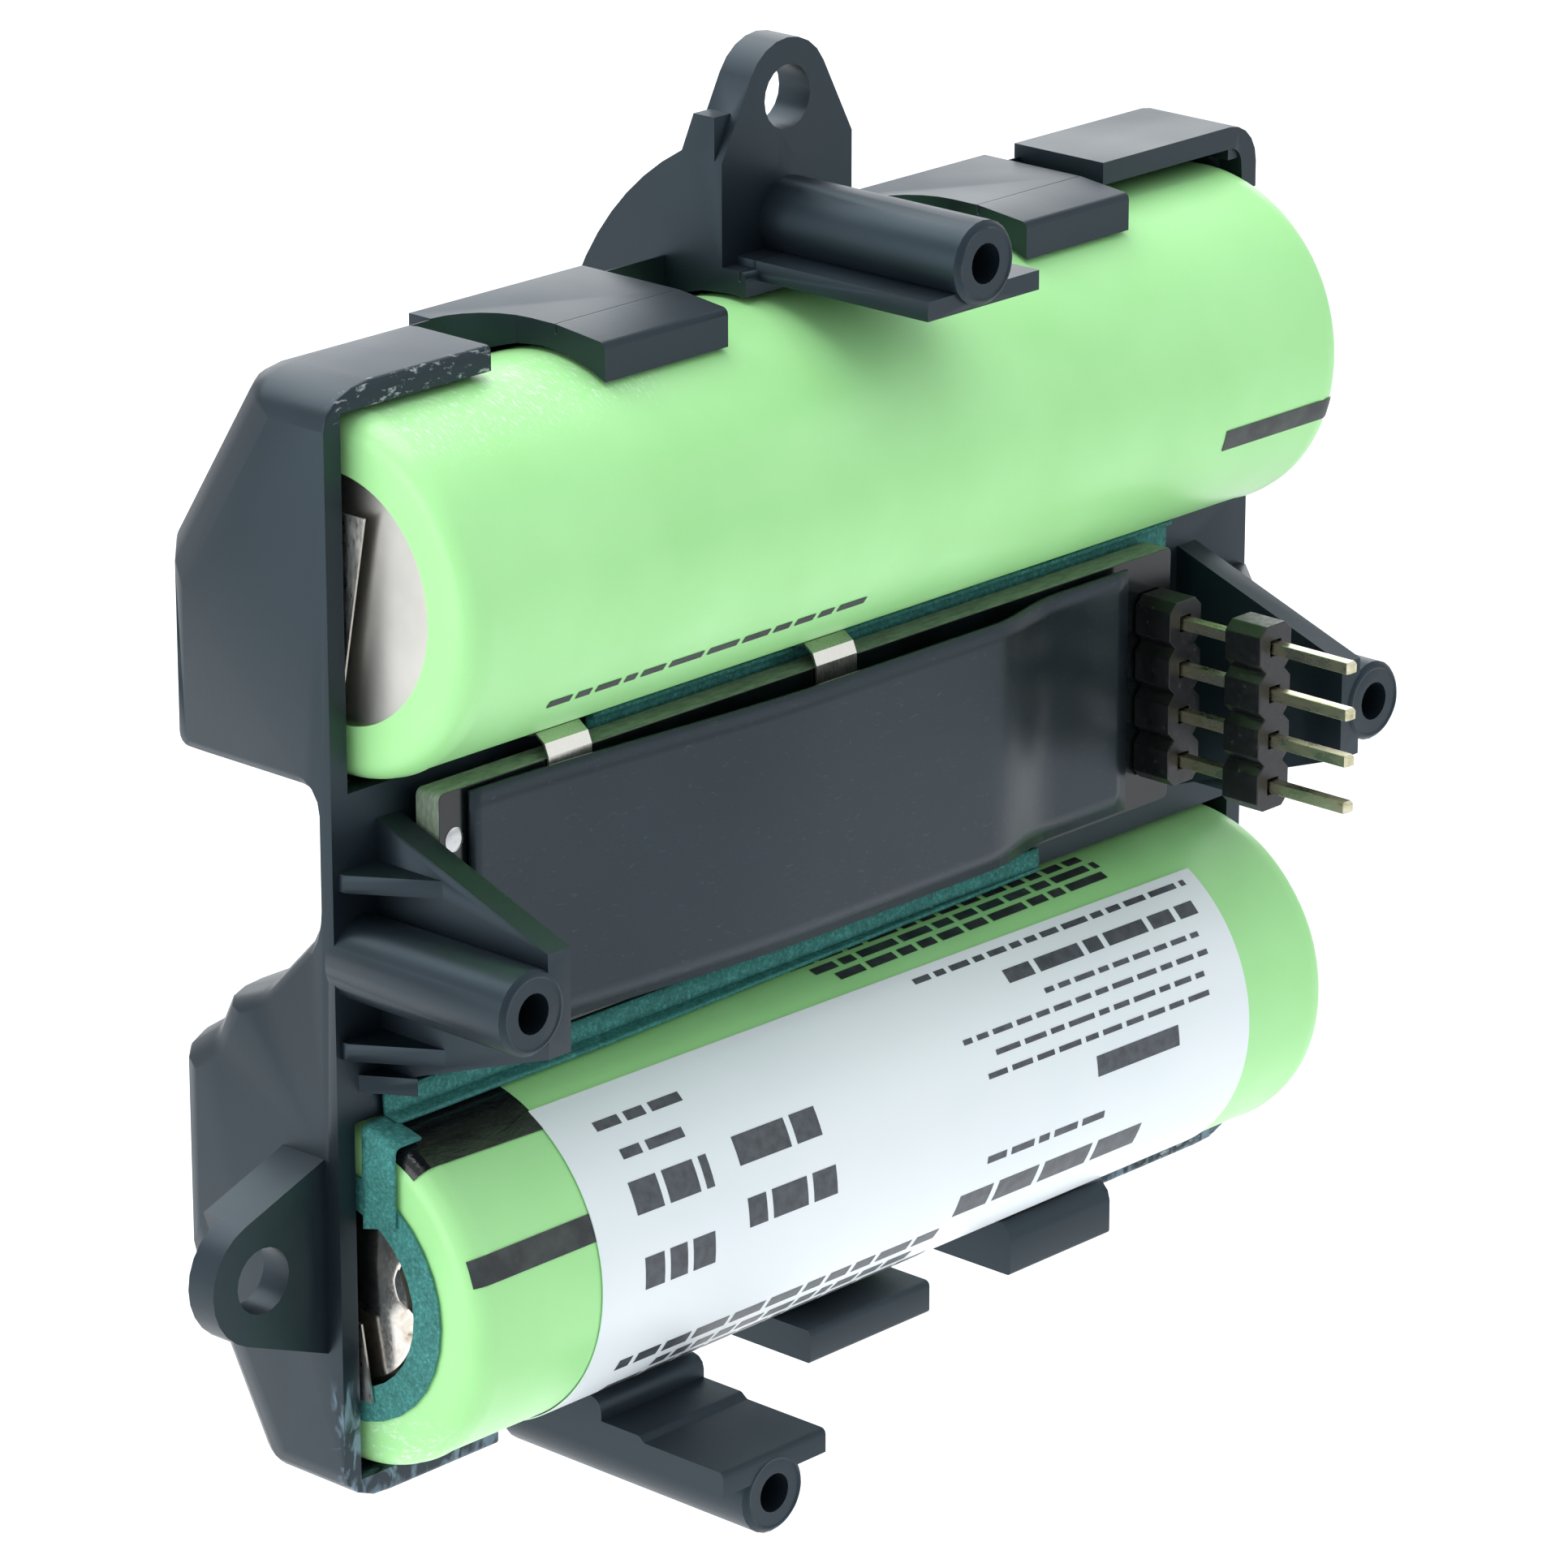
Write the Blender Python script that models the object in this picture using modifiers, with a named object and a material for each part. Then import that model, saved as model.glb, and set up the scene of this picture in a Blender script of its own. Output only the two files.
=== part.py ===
"""Two-cell lithium-ion battery pack for a small appliance: a black moulded cradle with two 18650 cells,
a protection board between them and a four-pin header.

Frame: millimetre sizes turned to metres by MM. X runs along the cells, +Z is up, and the pack is pushed
into its appliance towards -Y. The origin is in the plane of the screw bosses' ends, halfway along the
cells and midway between their axes.
"""

import math

import bmesh
import bpy
from mathutils import Matrix, Vector

MM = 0.001

# Cells, 18650 size
CELL_RADIUS = 9.1 * MM  # over the shrink sleeve
CELL_LENGTH = 64.8 * MM
CELL_APART = 17.46 * MM  # between the two sleeves
CELL_AXIS_Y = 12.8 * MM
CELL_SEGMENTS = 36
SHOULDER = 0.9 * MM
SLEEVE_WALL = 0.15 * MM
SLEEVE_HOLE = 6.3 * MM
CAN_WALL = 0.3 * MM
CAN_GROOVE_DEPTH = 0.6 * MM
CAN_GROOVE_FROM_END = 3.9 * MM
CRIMP_LIP = 2.0 * MM
WINDING_HOLE = 1.6 * MM
CAP_RADIUS = 5.6 * MM
CAP_BUTTON_RADIUS = 3.9 * MM
FILM_GAP = 0.1 * MM  # between a film and what it lies on
PART_GAP = 0.3 * MM  # between moulded pieces that touch

# Films and papers
FILM = 0.1 * MM
PAPER = 0.2 * MM
STRIP = 0.12 * MM  # nickel strip
LEAD_WIDTH = 3.0 * MM
LABEL_ENDS = (8.4 * MM, 6.8 * MM)  # from the cell's left and right end
LABEL_ANGLES = (27.0, 172.0)  # degrees from the top of the cell, over its front
LABEL_LEAN = 4.0  # degrees by which its right end is turned further round
TAPE_END = 0.2 * MM  # from the cell's left end
TAPE_ANGLES = (8.0, 34.0)
WASHER_RADII = (4.75 * MM, 6.55 * MM)

# Cradle
WALL = 1.1 * MM
SLOPE_WALL = 0.6 * MM  # the thinnest wall, where the back slopes pass a cell
END_ROOM = 0.6 * MM  # from a cell's end to the end wall
RIM_FROM_AXIS = 1.3 * MM  # the open rim lies this far in front of the cells' axes
BACK_WALL = 1.25 * MM
TOP_WALL = 1.25 * MM
EDGE_ROUND = 3.2 * MM  # end walls into the slopes, and less into the flat sides
POCKET_ROUND = 1.5 * MM  # at the ends of the cells' pockets
RIM_CORNER = 0.3 * MM
POCKET_FLOOR = 0.43 * MM  # under the upper cell's pocket
TROUGH_TOP_SLOPE = 33.0  # degrees of the slopes' normals from the back's
TROUGH_LOW_SLOPE = 29.0
OPEN_BACK_FROM_AXIS = 4.2 * MM  # between the tabs the cell shows as far back as this
TOP_GAPS = ((11.1 * MM, 28.85 * MM), (38.0 * MM, 66.1 * MM))  # from the left end wall
BOTTOM_GAP = (10.6 * MM, 55.1 * MM)

# Clips, with their left and right sides from the left end wall's outside
TOP_CLIPS = ((15.9 * MM, 24.5 * MM), (46.6 * MM, 54.6 * MM))
TOP_CLIP_DEPTH = 3.2 * MM
CLIP_FILLET = 3.4 * MM
RIGHT_TAB_REACH = 10.4 * MM
# Then the reach before the axis, the depths below and above the cradle's bottom, and the round
BOTTOM_CLIPS = (
    (14.8 * MM, 22.3 * MM, 4.4 * MM, 0.0, 2.0 * MM, 0.7 * MM),
    (30.1 * MM, 39.3 * MM, 4.6 * MM, 0.9 * MM, 0.9 * MM, 0.3 * MM),
    (45.5 * MM, 53.6 * MM, 4.8 * MM, 0.7 * MM, 2.3 * MM, 1.1 * MM),
)

# Screw bosses
BOSS_RADIUS = 2.15 * MM
BOSS_BORE = 1.025 * MM
BOSS_SEGMENTS = 24
LEFT_BOSS_IN = 1.9 * MM  # from the end wall's outside
RIGHT_BOSS_IN = 3.1 * MM
TOP_BOSS_X = -0.45 * MM
TOP_BOSS_RISE = 1.67 * MM  # over the cradle's top
LOW_BOSS_IN = 18.5 * MM
LOW_BOSS_DROP = 1.72 * MM
GUSSET_INSET = 1.1 * MM  # from a side boss's centre to its gusset's outer face
GUSSET_THICK = 1.5 * MM
GUSSET_ROOM = 1.83 * MM  # from a cell's axis to the end of the gusset
GUSSET_NOSE = 2.65 * MM  # half its height at the front
RIB_ROOM = (2.3 * MM, 2.9 * MM)  # from the gusset's upper and lower end to each rib's top
RIB_THICK = 0.9 * MM
RIB_FRONT = 7.1 * MM
FOOT_FRONT = 9.0 * MM
FOOT_REACH = 1.8 * MM

# Screw lugs
LUG_X = -0.5 * MM
LUG_RISE = 7.82 * MM  # over the cradle's top
LUG_NOSE = 3.0 * MM
LUG_HALF_WIDTH = 4.75 * MM
LUG_SHOULDER_DROP = 2.55 * MM
LUG_HOLE = 1.65 * MM
LUG_SET_BACK = 0.3 * MM  # behind the cells' axes
LUG_THICK = 2.1 * MM
EAR_OUT = 4.2 * MM  # from the end wall's outside
EAR_ABOVE_AXIS = 2.53 * MM
EAR_NOSE = 3.3 * MM
EAR_ROOT = (7.73 * MM, -2.77 * MM)  # from the lower axis
EAR_HOLE = 1.7 * MM
EAR_SET_FORWARD = 0.3 * MM  # before the cells' axes
EAR_THICK = 1.75 * MM

# Board, card and header
BOARD_RIGHT_IN = 9.1 * MM  # from the right end wall's outside
BOARD_ROOM = (2.73 * MM, 0.73 * MM)  # from the lower and the upper cell
BOARD_BACK_ROOM = 0.8 * MM  # from the rim, for the paper and the strips
BOARD_THICK = 1.6 * MM
BOARD_CORNER = 0.35 * MM
CARD_MARGINS = (1.8 * MM, 0.5 * MM, 0.2 * MM)  # from the board's left, lower and upper edges
CARD_FROM_HEADER = 1.23 * MM
CARD_LIFT = 1.35 * MM  # over the components
CARD_RISE = 24.0 * MM  # the length in which it lifts, from its left end
CARD_FALL = 6.0 * MM  # and in which it falls again
CARD_FALL_SHARE = 0.8
CARD_FLAT = 5.8 * MM  # what lies flat at its right end
PIN_PITCH = 2.54 * MM
PIN_SIDE = 0.64 * MM
PIN_FROM_EDGE = 1.7 * MM
PIN_ROW_DROP = 0.1 * MM  # under the board's middle
PIN_COUNT = 4
PIN_TIP = -4.7 * MM
PIN_HOLE_GAP = 0.15 * MM
SPACER_WIDTH = 2.54 * MM
SPACER_DEPTH = 2.4 * MM
SPACER_CLEAR = 3.7 * MM  # between the two insulators

# Worked out from the above
UPPER_Z = CELL_APART / 2 + CELL_RADIUS
LOWER_Z = -UPPER_Z
CELL_END = CELL_LENGTH / 2
POCKET_RADIUS = CELL_RADIUS + FILM_GAP + FILM + FILM_GAP
INNER_X = CELL_END + END_ROOM
OUTER_X = INNER_X + WALL
RIM_Y = CELL_AXIS_Y - RIM_FROM_AXIS
BACK_Y = CELL_AXIS_Y + POCKET_RADIUS + BACK_WALL
TOP_Z = UPPER_Z + POCKET_RADIUS + TOP_WALL
LOW_Z = LOWER_Z - POCKET_RADIUS - TOP_WALL
WAIST_Y = RIM_Y + WALL
WAIST_TOP = UPPER_Z - POCKET_RADIUS - POCKET_FLOOR
OPEN_BACK_Y = CELL_AXIS_Y + OPEN_BACK_FROM_AXIS
LEFT_BOSS = (-OUTER_X + LEFT_BOSS_IN, 0.0)
RIGHT_BOSS = (OUTER_X - RIGHT_BOSS_IN, 0.0)
TOP_BOSS = (TOP_BOSS_X, TOP_Z + TOP_BOSS_RISE)
LOW_BOSS = (-OUTER_X + LOW_BOSS_IN, LOW_Z - LOW_BOSS_DROP)
LUG_CENTRE = (LUG_X, TOP_Z + LUG_RISE)
LUG_FRONT = CELL_AXIS_Y + LUG_SET_BACK
EAR_CENTRE = (-OUTER_X - EAR_OUT, LOWER_Z + EAR_ABOVE_AXIS)
EAR_FRONT = CELL_AXIS_Y - EAR_SET_FORWARD
LABEL_X = (-CELL_END + LABEL_ENDS[0], CELL_END - LABEL_ENDS[1])
TAPE_X = (-CELL_END + TAPE_END, LABEL_X[0] - PART_GAP)
BOARD_X = (LEFT_BOSS[0] + GUSSET_INSET + GUSSET_THICK + PART_GAP, OUTER_X - BOARD_RIGHT_IN)
BOARD_Z = (BOARD_ROOM[0] - CELL_APART / 2, CELL_APART / 2 - BOARD_ROOM[1])
BOARD_BACK = RIM_Y - BOARD_BACK_ROOM
BOARD_FRONT = BOARD_BACK - BOARD_THICK
PIN_X = BOARD_X[1] - PIN_FROM_EDGE
PIN_ROW_Z = (BOARD_Z[0] + BOARD_Z[1]) / 2 - PIN_ROW_DROP
CARD_X = (BOARD_X[0] + CARD_MARGINS[0], PIN_X - SPACER_WIDTH / 2 - CARD_FROM_HEADER)
CARD_Z = (BOARD_Z[0] + CARD_MARGINS[1], BOARD_Z[1] - CARD_MARGINS[2])
SINK = 0.4 * MM  # how far a joined shape runs into the wall it stands on

PACK = bpy.data.collections.new("battery_pack")
HELPERS = bpy.data.collections.new("cutters")


def clear_scene():
    for thing in list(bpy.data.objects):
        bpy.data.objects.remove(thing, do_unlink=True)
    bpy.context.scene.collection.children.link(PACK)
    bpy.context.scene.collection.children.link(HELPERS)


def material(name, colour, roughness, metallic=0.0):
    made = bpy.data.materials.get(name)
    if made is None:
        made = bpy.data.materials.new(name)
        made.use_nodes = True
        made.diffuse_color = (*colour, 1.0)
        shader = made.node_tree.nodes["Principled BSDF"]
        shader.inputs["Base Color"].default_value = (*colour, 1.0)
        shader.inputs["Roughness"].default_value = roughness
        shader.inputs["Metallic"].default_value = metallic
    return made


def black_abs():
    return material("black_abs", (0.028, 0.032, 0.037), 0.45)


def sleeve_green():
    return material("green_pvc_sleeve", (0.42, 0.86, 0.34), 0.35)


def nickel():
    return material("nickel", (0.60, 0.58, 0.53), 0.35, 1.0)


def barley_paper():
    return material("barley_paper", (0.02, 0.13, 0.10), 0.85)


def add_object(name, mesh, finish, home):
    thing = bpy.data.objects.new(name, mesh)
    if finish is not None:
        mesh.materials.append(finish)
    home.objects.link(thing)
    if home is HELPERS:
        thing.hide_render = True
        thing.display_type = "WIRE"
    return thing


def smooth(mesh, degrees=35.0):
    mesh.shade_smooth()
    mesh.set_sharp_from_angle(angle=math.radians(degrees))


# Outlines are lists of (u, v) points. A plane name says where u and v lie and what the depth runs along.
PLANES = {
    "YZ": Matrix(((0, 0, 1, 0), (1, 0, 0, 0), (0, 1, 0, 0), (0, 0, 0, 1))),
    "XZ": Matrix(((1, 0, 0, 0), (0, 0, -1, 0), (0, 1, 0, 0), (0, 0, 0, 1))),
    "XY": Matrix.Identity(4),
}


def box_outline(low, high):
    return [(low[0], low[1]), (high[0], low[1]), (high[0], high[1]), (low[0], high[1])]


def arc(centre, radius, start, end, segments):
    """Points on an arc, both ends included, with angles in radians from +u."""
    return [
        (
            centre[0] + radius * math.cos(start + (end - start) * k / segments),
            centre[1] + radius * math.sin(start + (end - start) * k / segments),
        )
        for k in range(segments + 1)
    ]


def rounded(corners, segments=3):
    """An outline with each (u, v, radius) corner turned to an arc, or left sharp where the radius is 0."""
    outline = []
    for index, (u, v, radius) in enumerate(corners):
        here = Vector((u, v))
        before = (Vector(corners[index - 1][:2]) - here).normalized()
        after = (Vector(corners[(index + 1) % len(corners)][:2]) - here).normalized()
        half = before.angle(after) / 2
        if radius == 0 or half > math.radians(89):
            outline.append((u, v))
            continue
        middle = here + (before + after).normalized() * radius / math.sin(half)
        first = here + before * radius / math.tan(half) - middle
        last = here + after * radius / math.tan(half) - middle
        swing = first.angle_signed(last)
        for k in range(segments + 1):
            point = middle + Matrix.Rotation(-swing * k / segments, 2) @ first
            outline.append((point.x, point.y))
    return outline


def nose(centre, radius, first, last, segments):
    """The arc of a round nose, from where the tangent through first meets it to the one through last."""
    ends = []
    for point, side in ((first, 1), (last, -1)):
        away = Vector(point) - Vector(centre)
        ends.append(math.atan2(away.y, away.x) + side * math.acos(radius / away.length))
    while ends[1] < ends[0]:
        ends[1] += 2 * math.pi
    return arc(centre, radius, ends[0], ends[1], segments)


def plate(name, plane, outline, low, high, finish=None, holes=(), home=HELPERS):
    """A flat outline, with any holes, drawn in a plane and given its depth from low to high along the
    plane's own direction: X for YZ, -Y for XZ, and Z for XY."""
    flat = bpy.data.curves.new(name, "CURVE")
    flat.dimensions = "2D"
    flat.fill_mode = "BOTH"
    flat.extrude = (high - low) / 2
    for loop in (outline, *holes):
        spline = flat.splines.new("POLY")
        spline.points.add(len(loop) - 1)
        for point, (u, v) in zip(spline.points, loop):
            point.co = (u, v, 0, 1)
        spline.use_cyclic_u = True
    guide = bpy.data.objects.new(name + "_outline", flat)
    bpy.context.scene.collection.objects.link(guide)
    graph = bpy.context.evaluated_depsgraph_get()
    mesh = bpy.data.meshes.new_from_object(guide.evaluated_get(graph))
    mesh.name = name
    bpy.data.objects.remove(guide, do_unlink=True)
    mesh.materials.clear()
    lift = Matrix.Translation((0, 0, (high + low) / 2))
    shape = bmesh.new()
    shape.from_mesh(mesh)
    bmesh.ops.remove_doubles(shape, verts=shape.verts, dist=0.001 * MM)
    bmesh.ops.transform(shape, matrix=PLANES[plane] @ lift, verts=shape.verts)
    bmesh.ops.recalc_face_normals(shape, faces=shape.faces)
    shape.to_mesh(mesh)
    shape.free()
    return add_object(name, mesh, finish, home)


def front_plate(name, outline, front, back, finish=None, holes=(), home=HELPERS):
    """A plate that faces -Y, between two Y values."""
    return plate(name, "XZ", outline, -back, -front, finish, holes, home)


def block(name, low, high, finish=None, home=HELPERS):
    shape = bmesh.new()
    bmesh.ops.create_cube(shape, size=1.0)
    size = Vector(high) - Vector(low)
    middle = (Vector(high) + Vector(low)) / 2
    place = Matrix.Translation(middle) @ Matrix.Diagonal((*size, 1.0))
    bmesh.ops.transform(shape, matrix=place, verts=shape.verts)
    mesh = bpy.data.meshes.new(name)
    shape.to_mesh(mesh)
    shape.free()
    return add_object(name, mesh, finish, home)


def turned(name, profile, centre, axis, finish=None, segments=CELL_SEGMENTS, home=HELPERS):
    """A profile of (radius, height) points turned about an axis through centre. The profile is closed on
    itself, or along the axis where it starts and ends there."""
    size = sum(a[0] * b[1] - b[0] * a[1] for a, b in zip(profile, profile[1:] + profile[:1]))
    if size > 0:
        profile = profile[::-1]
    on_axis = profile[0][0] == 0 and profile[-1][0] == 0
    count = len(profile)
    edges = [(k, (k + 1) % count) for k in range(count - 1 if on_axis else count)]
    mesh = bpy.data.meshes.new(name)
    mesh.from_pydata([(r, 0, h) for r, h in profile], edges, [])
    thing = add_object(name, mesh, finish, home)
    thing.location = centre
    thing.rotation_euler = Vector(axis).to_track_quat("Z", "Y").to_euler()
    screw = thing.modifiers.new("turn", "SCREW")
    screw.steps = segments
    screw.render_steps = segments
    screw.use_merge_vertices = True
    screw.merge_threshold = 0.001 * MM
    screw.use_smooth_shade = True
    return thing


def along_x(name, profile, axis_z, facing, finish, segments=CELL_SEGMENTS, home=PACK):
    """A shape turned about a cell's axis, its heights measured towards facing, +1 or -1 along X."""
    thing = turned(name, profile, (0, CELL_AXIS_Y, axis_z), (1, 0, 0), finish, segments, home)
    thing.rotation_euler = (0, facing * math.pi / 2, 0)
    return thing


def wrap(name, axis_z, angles, x_range, inner, outer, finish, lean=0.0):
    """A film that follows a cell, between two angles from the cell's top over its front. Lean turns its
    right end further round, in degrees."""
    step = 360 / CELL_SEGMENTS
    count = max(2, round((angles[1] - angles[0]) / step))
    shape = bmesh.new()
    rings = []
    for x, turn in ((x_range[0], 0.0), (x_range[1], lean)):
        ring = []
        for radius, order in ((outer, range(count + 1)), (inner, range(count, -1, -1))):
            for k in order:
                angle = math.radians(turn + angles[0] + (angles[1] - angles[0]) * k / count)
                y = CELL_AXIS_Y - radius * math.sin(angle)
                ring.append(shape.verts.new((x, y, axis_z + radius * math.cos(angle))))
        rings.append(ring)
    total = len(rings[0])
    for k in range(total):
        after = (k + 1) % total
        shape.faces.new((rings[0][k], rings[0][after], rings[1][after], rings[1][k]))
    for ring in rings:
        for k in range(count):
            shape.faces.new((ring[k], ring[k + 1], ring[total - 2 - k], ring[total - 1 - k]))
    bmesh.ops.recalc_face_normals(shape, faces=shape.faces)
    mesh = bpy.data.meshes.new(name)
    shape.to_mesh(mesh)
    shape.free()
    smooth(mesh)
    return add_object(name, mesh, finish, PACK)


def strip(name, path, across, width, thick, finish):
    """A bent strip: the (a, b) points of its middle line are thickened, and it is given its width along
    the axis named by across, from the first value of width to the second."""
    left, right = [], []
    for k, point in enumerate(path):
        here = Vector(point)
        run = (here - Vector(path[k - 1])) if k else (Vector(path[1]) - here)
        follow = (Vector(path[k + 1]) - here) if k < len(path) - 1 else run
        middle = (run.normalized() + follow.normalized()).normalized()
        side = Vector((-middle.y, middle.x))
        reach = thick / 2 / max(0.5, side.dot(Vector((-run.y, run.x)).normalized()))
        left.append(tuple(here + side * reach))
        right.append(tuple(here - side * reach))
    outline = left + right[::-1]
    if across == "Y":
        return front_plate(name, outline, width[0], width[1], finish, home=PACK)
    return plate(name, "YZ" if across == "X" else "XY", outline, *width, finish, home=PACK)


def combine(thing, operation, pieces):
    """A Boolean with a group of helper pieces, which get a collection of their own."""
    group = bpy.data.collections.new(f"{thing.name}_{operation.lower()}_{len(thing.modifiers)}")
    HELPERS.children.link(group)
    for piece in pieces:
        HELPERS.objects.unlink(piece)
        group.objects.link(piece)
    change = thing.modifiers.new(operation.lower(), "BOOLEAN")
    change.operation = operation
    change.operand_type = "COLLECTION"
    change.collection = group
    change.solver = "EXACT"


# The cradle


def slope_corners(axis_z, degrees, flat_z):
    """Where a slope that just clears a cell meets the trough's flat top or bottom, and its back."""
    way = 1 if flat_z > axis_z else -1
    away = POCKET_RADIUS + SLOPE_WALL
    cos, sin = math.cos(math.radians(degrees)), math.sin(math.radians(degrees))
    flat_y = CELL_AXIS_Y + (away - abs(flat_z - axis_z) * sin) / cos
    back_z = axis_z + way * (away - (BACK_Y - CELL_AXIS_Y) * cos) / sin
    return flat_y, back_z


def waist_curve():
    """The back of the wall between the troughs, from the waist down to the lower trough's back, as
    (y, z, radius, share) corners. It has a small shelf halfway down."""
    return [
        (BACK_Y, LOWER_Z + 10.93 * MM, 1.5 * MM, 0.6),
        (BACK_Y - 2.45 * MM, LOWER_Z + 12.53 * MM, 1.0 * MM, 0.6),
        (BACK_Y - 3.25 * MM, LOWER_Z + 14.13 * MM, 1.0 * MM, 0.36),
        (BACK_Y - 6.25 * MM, LOWER_Z + 15.33 * MM, 3.0 * MM, 0.36),
        (WAIST_Y, LOWER_Z + 20.0 * MM, 4.0 * MM, 0.09),
    ]


def trough_outline(inset):
    """The cradle's end outline. Each corner has its place, its radius and the share of inset by which the
    side after it is drawn in: none on the open front, little on the thin waist, all of it on the slopes."""
    top_y, top_back_z = slope_corners(UPPER_Z, TROUGH_TOP_SLOPE, TOP_Z)
    low_y, low_back_z = slope_corners(LOWER_Z, TROUGH_LOW_SLOPE, LOW_Z)
    corners = [
        (RIM_Y, LOW_Z, RIM_CORNER, 0.6),
        (low_y, LOW_Z, 2.4 * MM, 1.0),
        (BACK_Y, low_back_z, 2.2 * MM, 0.6),
        *waist_curve(),
        (WAIST_Y, WAIST_TOP, 0.6 * MM, 0.36),
        (BACK_Y, WAIST_TOP, 2.6 * MM, 0.6),
        (BACK_Y, top_back_z, 2.2 * MM, 1.0),
        (top_y, TOP_Z, 2.4 * MM, 0.6),
        (RIM_Y, TOP_Z, RIM_CORNER, 0.0),
    ]
    hollow = {4, 6, 7, 8}
    drawn = []
    for k, (y, z, radius, share) in enumerate(corners):
        before, after = corners[k - 1], corners[(k + 1) % len(corners)]
        here = Vector((y, z))
        first = (here - Vector(before[:2])).normalized()
        second = (Vector(after[:2]) - here).normalized()
        start = here + Vector((-first.y, first.x)) * inset * before[3]
        end = here + Vector((-second.y, second.x)) * inset * share
        point = start + first * (end - start).cross(second) / first.cross(second)
        size = radius + inset * share if k in hollow else max(0.15 * MM, radius - inset)
        drawn.append((point.x, point.y, size))
    return rounded(drawn, 4)


def trough_body():
    """The solid that the cells' pockets are cut from: the end outline lofted from wall to wall, with the
    outline drawn in towards each end so that the outer edges are round."""
    turns = [math.radians(90 * k / 4) for k in range(5)]
    left = [(-OUTER_X + EDGE_ROUND * (1 - math.cos(t)), EDGE_ROUND * (1 - math.sin(t))) for t in turns]
    stations = left + [(-x, inset) for x, inset in reversed(left)]
    shape = bmesh.new()
    rings = [
        [shape.verts.new((x, y, z)) for y, z in trough_outline(inset)] for x, inset in stations
    ]
    for first, second in zip(rings, rings[1:]):
        for k in range(len(first)):
            after = (k + 1) % len(first)
            shape.faces.new((first[k], first[after], second[after], second[k]))
    shape.faces.new(rings[0])
    shape.faces.new(rings[-1])
    bmesh.ops.recalc_face_normals(shape, faces=shape.faces)
    mesh = bpy.data.meshes.new("cradle")
    shape.to_mesh(mesh)
    shape.free()
    smooth(mesh)
    return add_object("cradle", mesh, black_abs(), PACK)


def trough_cuts():
    """The open fronts, the room above the lower cell, and the gaps between the top and bottom tabs."""
    far = 40 * MM
    cuts = []
    for name, axis_z in (("upper_front", UPPER_Z), ("lower_front", LOWER_Z)):
        low = (-INNER_X, -far, axis_z - POCKET_RADIUS)
        high = (INNER_X, CELL_AXIS_Y, axis_z + POCKET_RADIUS)
        cuts.append(block(name, low, high))
    inner_back = BACK_Y - BACK_WALL
    room = [
        (WAIST_Y, LOWER_Z),
        (inner_back, LOWER_Z),
        (inner_back, LOWER_Z + 9.5 * MM),
        (BACK_Y - 3.9 * MM, LOWER_Z + 12.2 * MM),
        (BACK_Y - 6.9 * MM, LOWER_Z + 13.7 * MM),
        (WAIST_Y, LOWER_Z + 17.6 * MM),
    ]
    cuts.append(plate("room_over_lower_cell", "YZ", room, -INNER_X, INNER_X))
    for k, (left, right) in enumerate(TOP_GAPS):
        low = (left - OUTER_X, -far, UPPER_Z)
        cuts.append(block(f"top_gap_{k}", low, (right - OUTER_X, OPEN_BACK_Y, far)))
    low = (BOTTOM_GAP[0] - OUTER_X, -far, -far)
    cuts.append(block("bottom_gap", low, (BOTTOM_GAP[1] - OUTER_X, OPEN_BACK_Y, LOWER_Z)))
    return cuts


def boss(name, centre, root_y):
    profile = [
        (0, 0),
        (BOSS_RADIUS - 0.2 * MM, 0),
        (BOSS_RADIUS, 0.2 * MM),
        (BOSS_RADIUS, root_y),
        (0, root_y),
    ]
    return turned(name, profile, (centre[0], 0, centre[1]), (0, 1, 0), None, BOSS_SEGMENTS)


def bore(name, centre, radius, front, back):
    profile = [(0, front), (radius, front), (radius, back), (0, back)]
    return turned(name, profile, (centre[0], 0, centre[1]), (0, 1, 0), None, 20)


def side_bracket(side, boss_x):
    """What ties a side boss to the rim: an upright gusset, two ribs out to the end wall and a foot."""
    root = RIM_Y + SINK
    inner = boss_x - side * GUSSET_INSET
    name = "left" if side < 0 else "right"
    half = CELL_APART / 2 - GUSSET_ROOM
    face = 0.1 * MM
    gusset = [(root, half), (face, GUSSET_NOSE), (face, -GUSSET_NOSE), (root, -half)]
    faces = sorted((inner, inner - side * GUSSET_THICK))
    made = [plate(f"{name}_gusset", "YZ", gusset, *faces)]
    wall = side * (OUTER_X - SINK)
    rib = [(wall, root), (inner, root), (inner, RIB_FRONT), (wall, RIM_Y - SINK)]
    for k, top in enumerate((half - RIB_ROOM[0], RIB_ROOM[1] - half)):
        made.append(plate(f"{name}_rib_{k}", "XY", rib, top - RIB_THICK, top))
    foot = [(inner, root), (inner, FOOT_FRONT), (inner + side * FOOT_REACH, root)]
    made.append(plate(f"{name}_foot", "XY", foot, -half, RIB_THICK - half))
    return made


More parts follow.
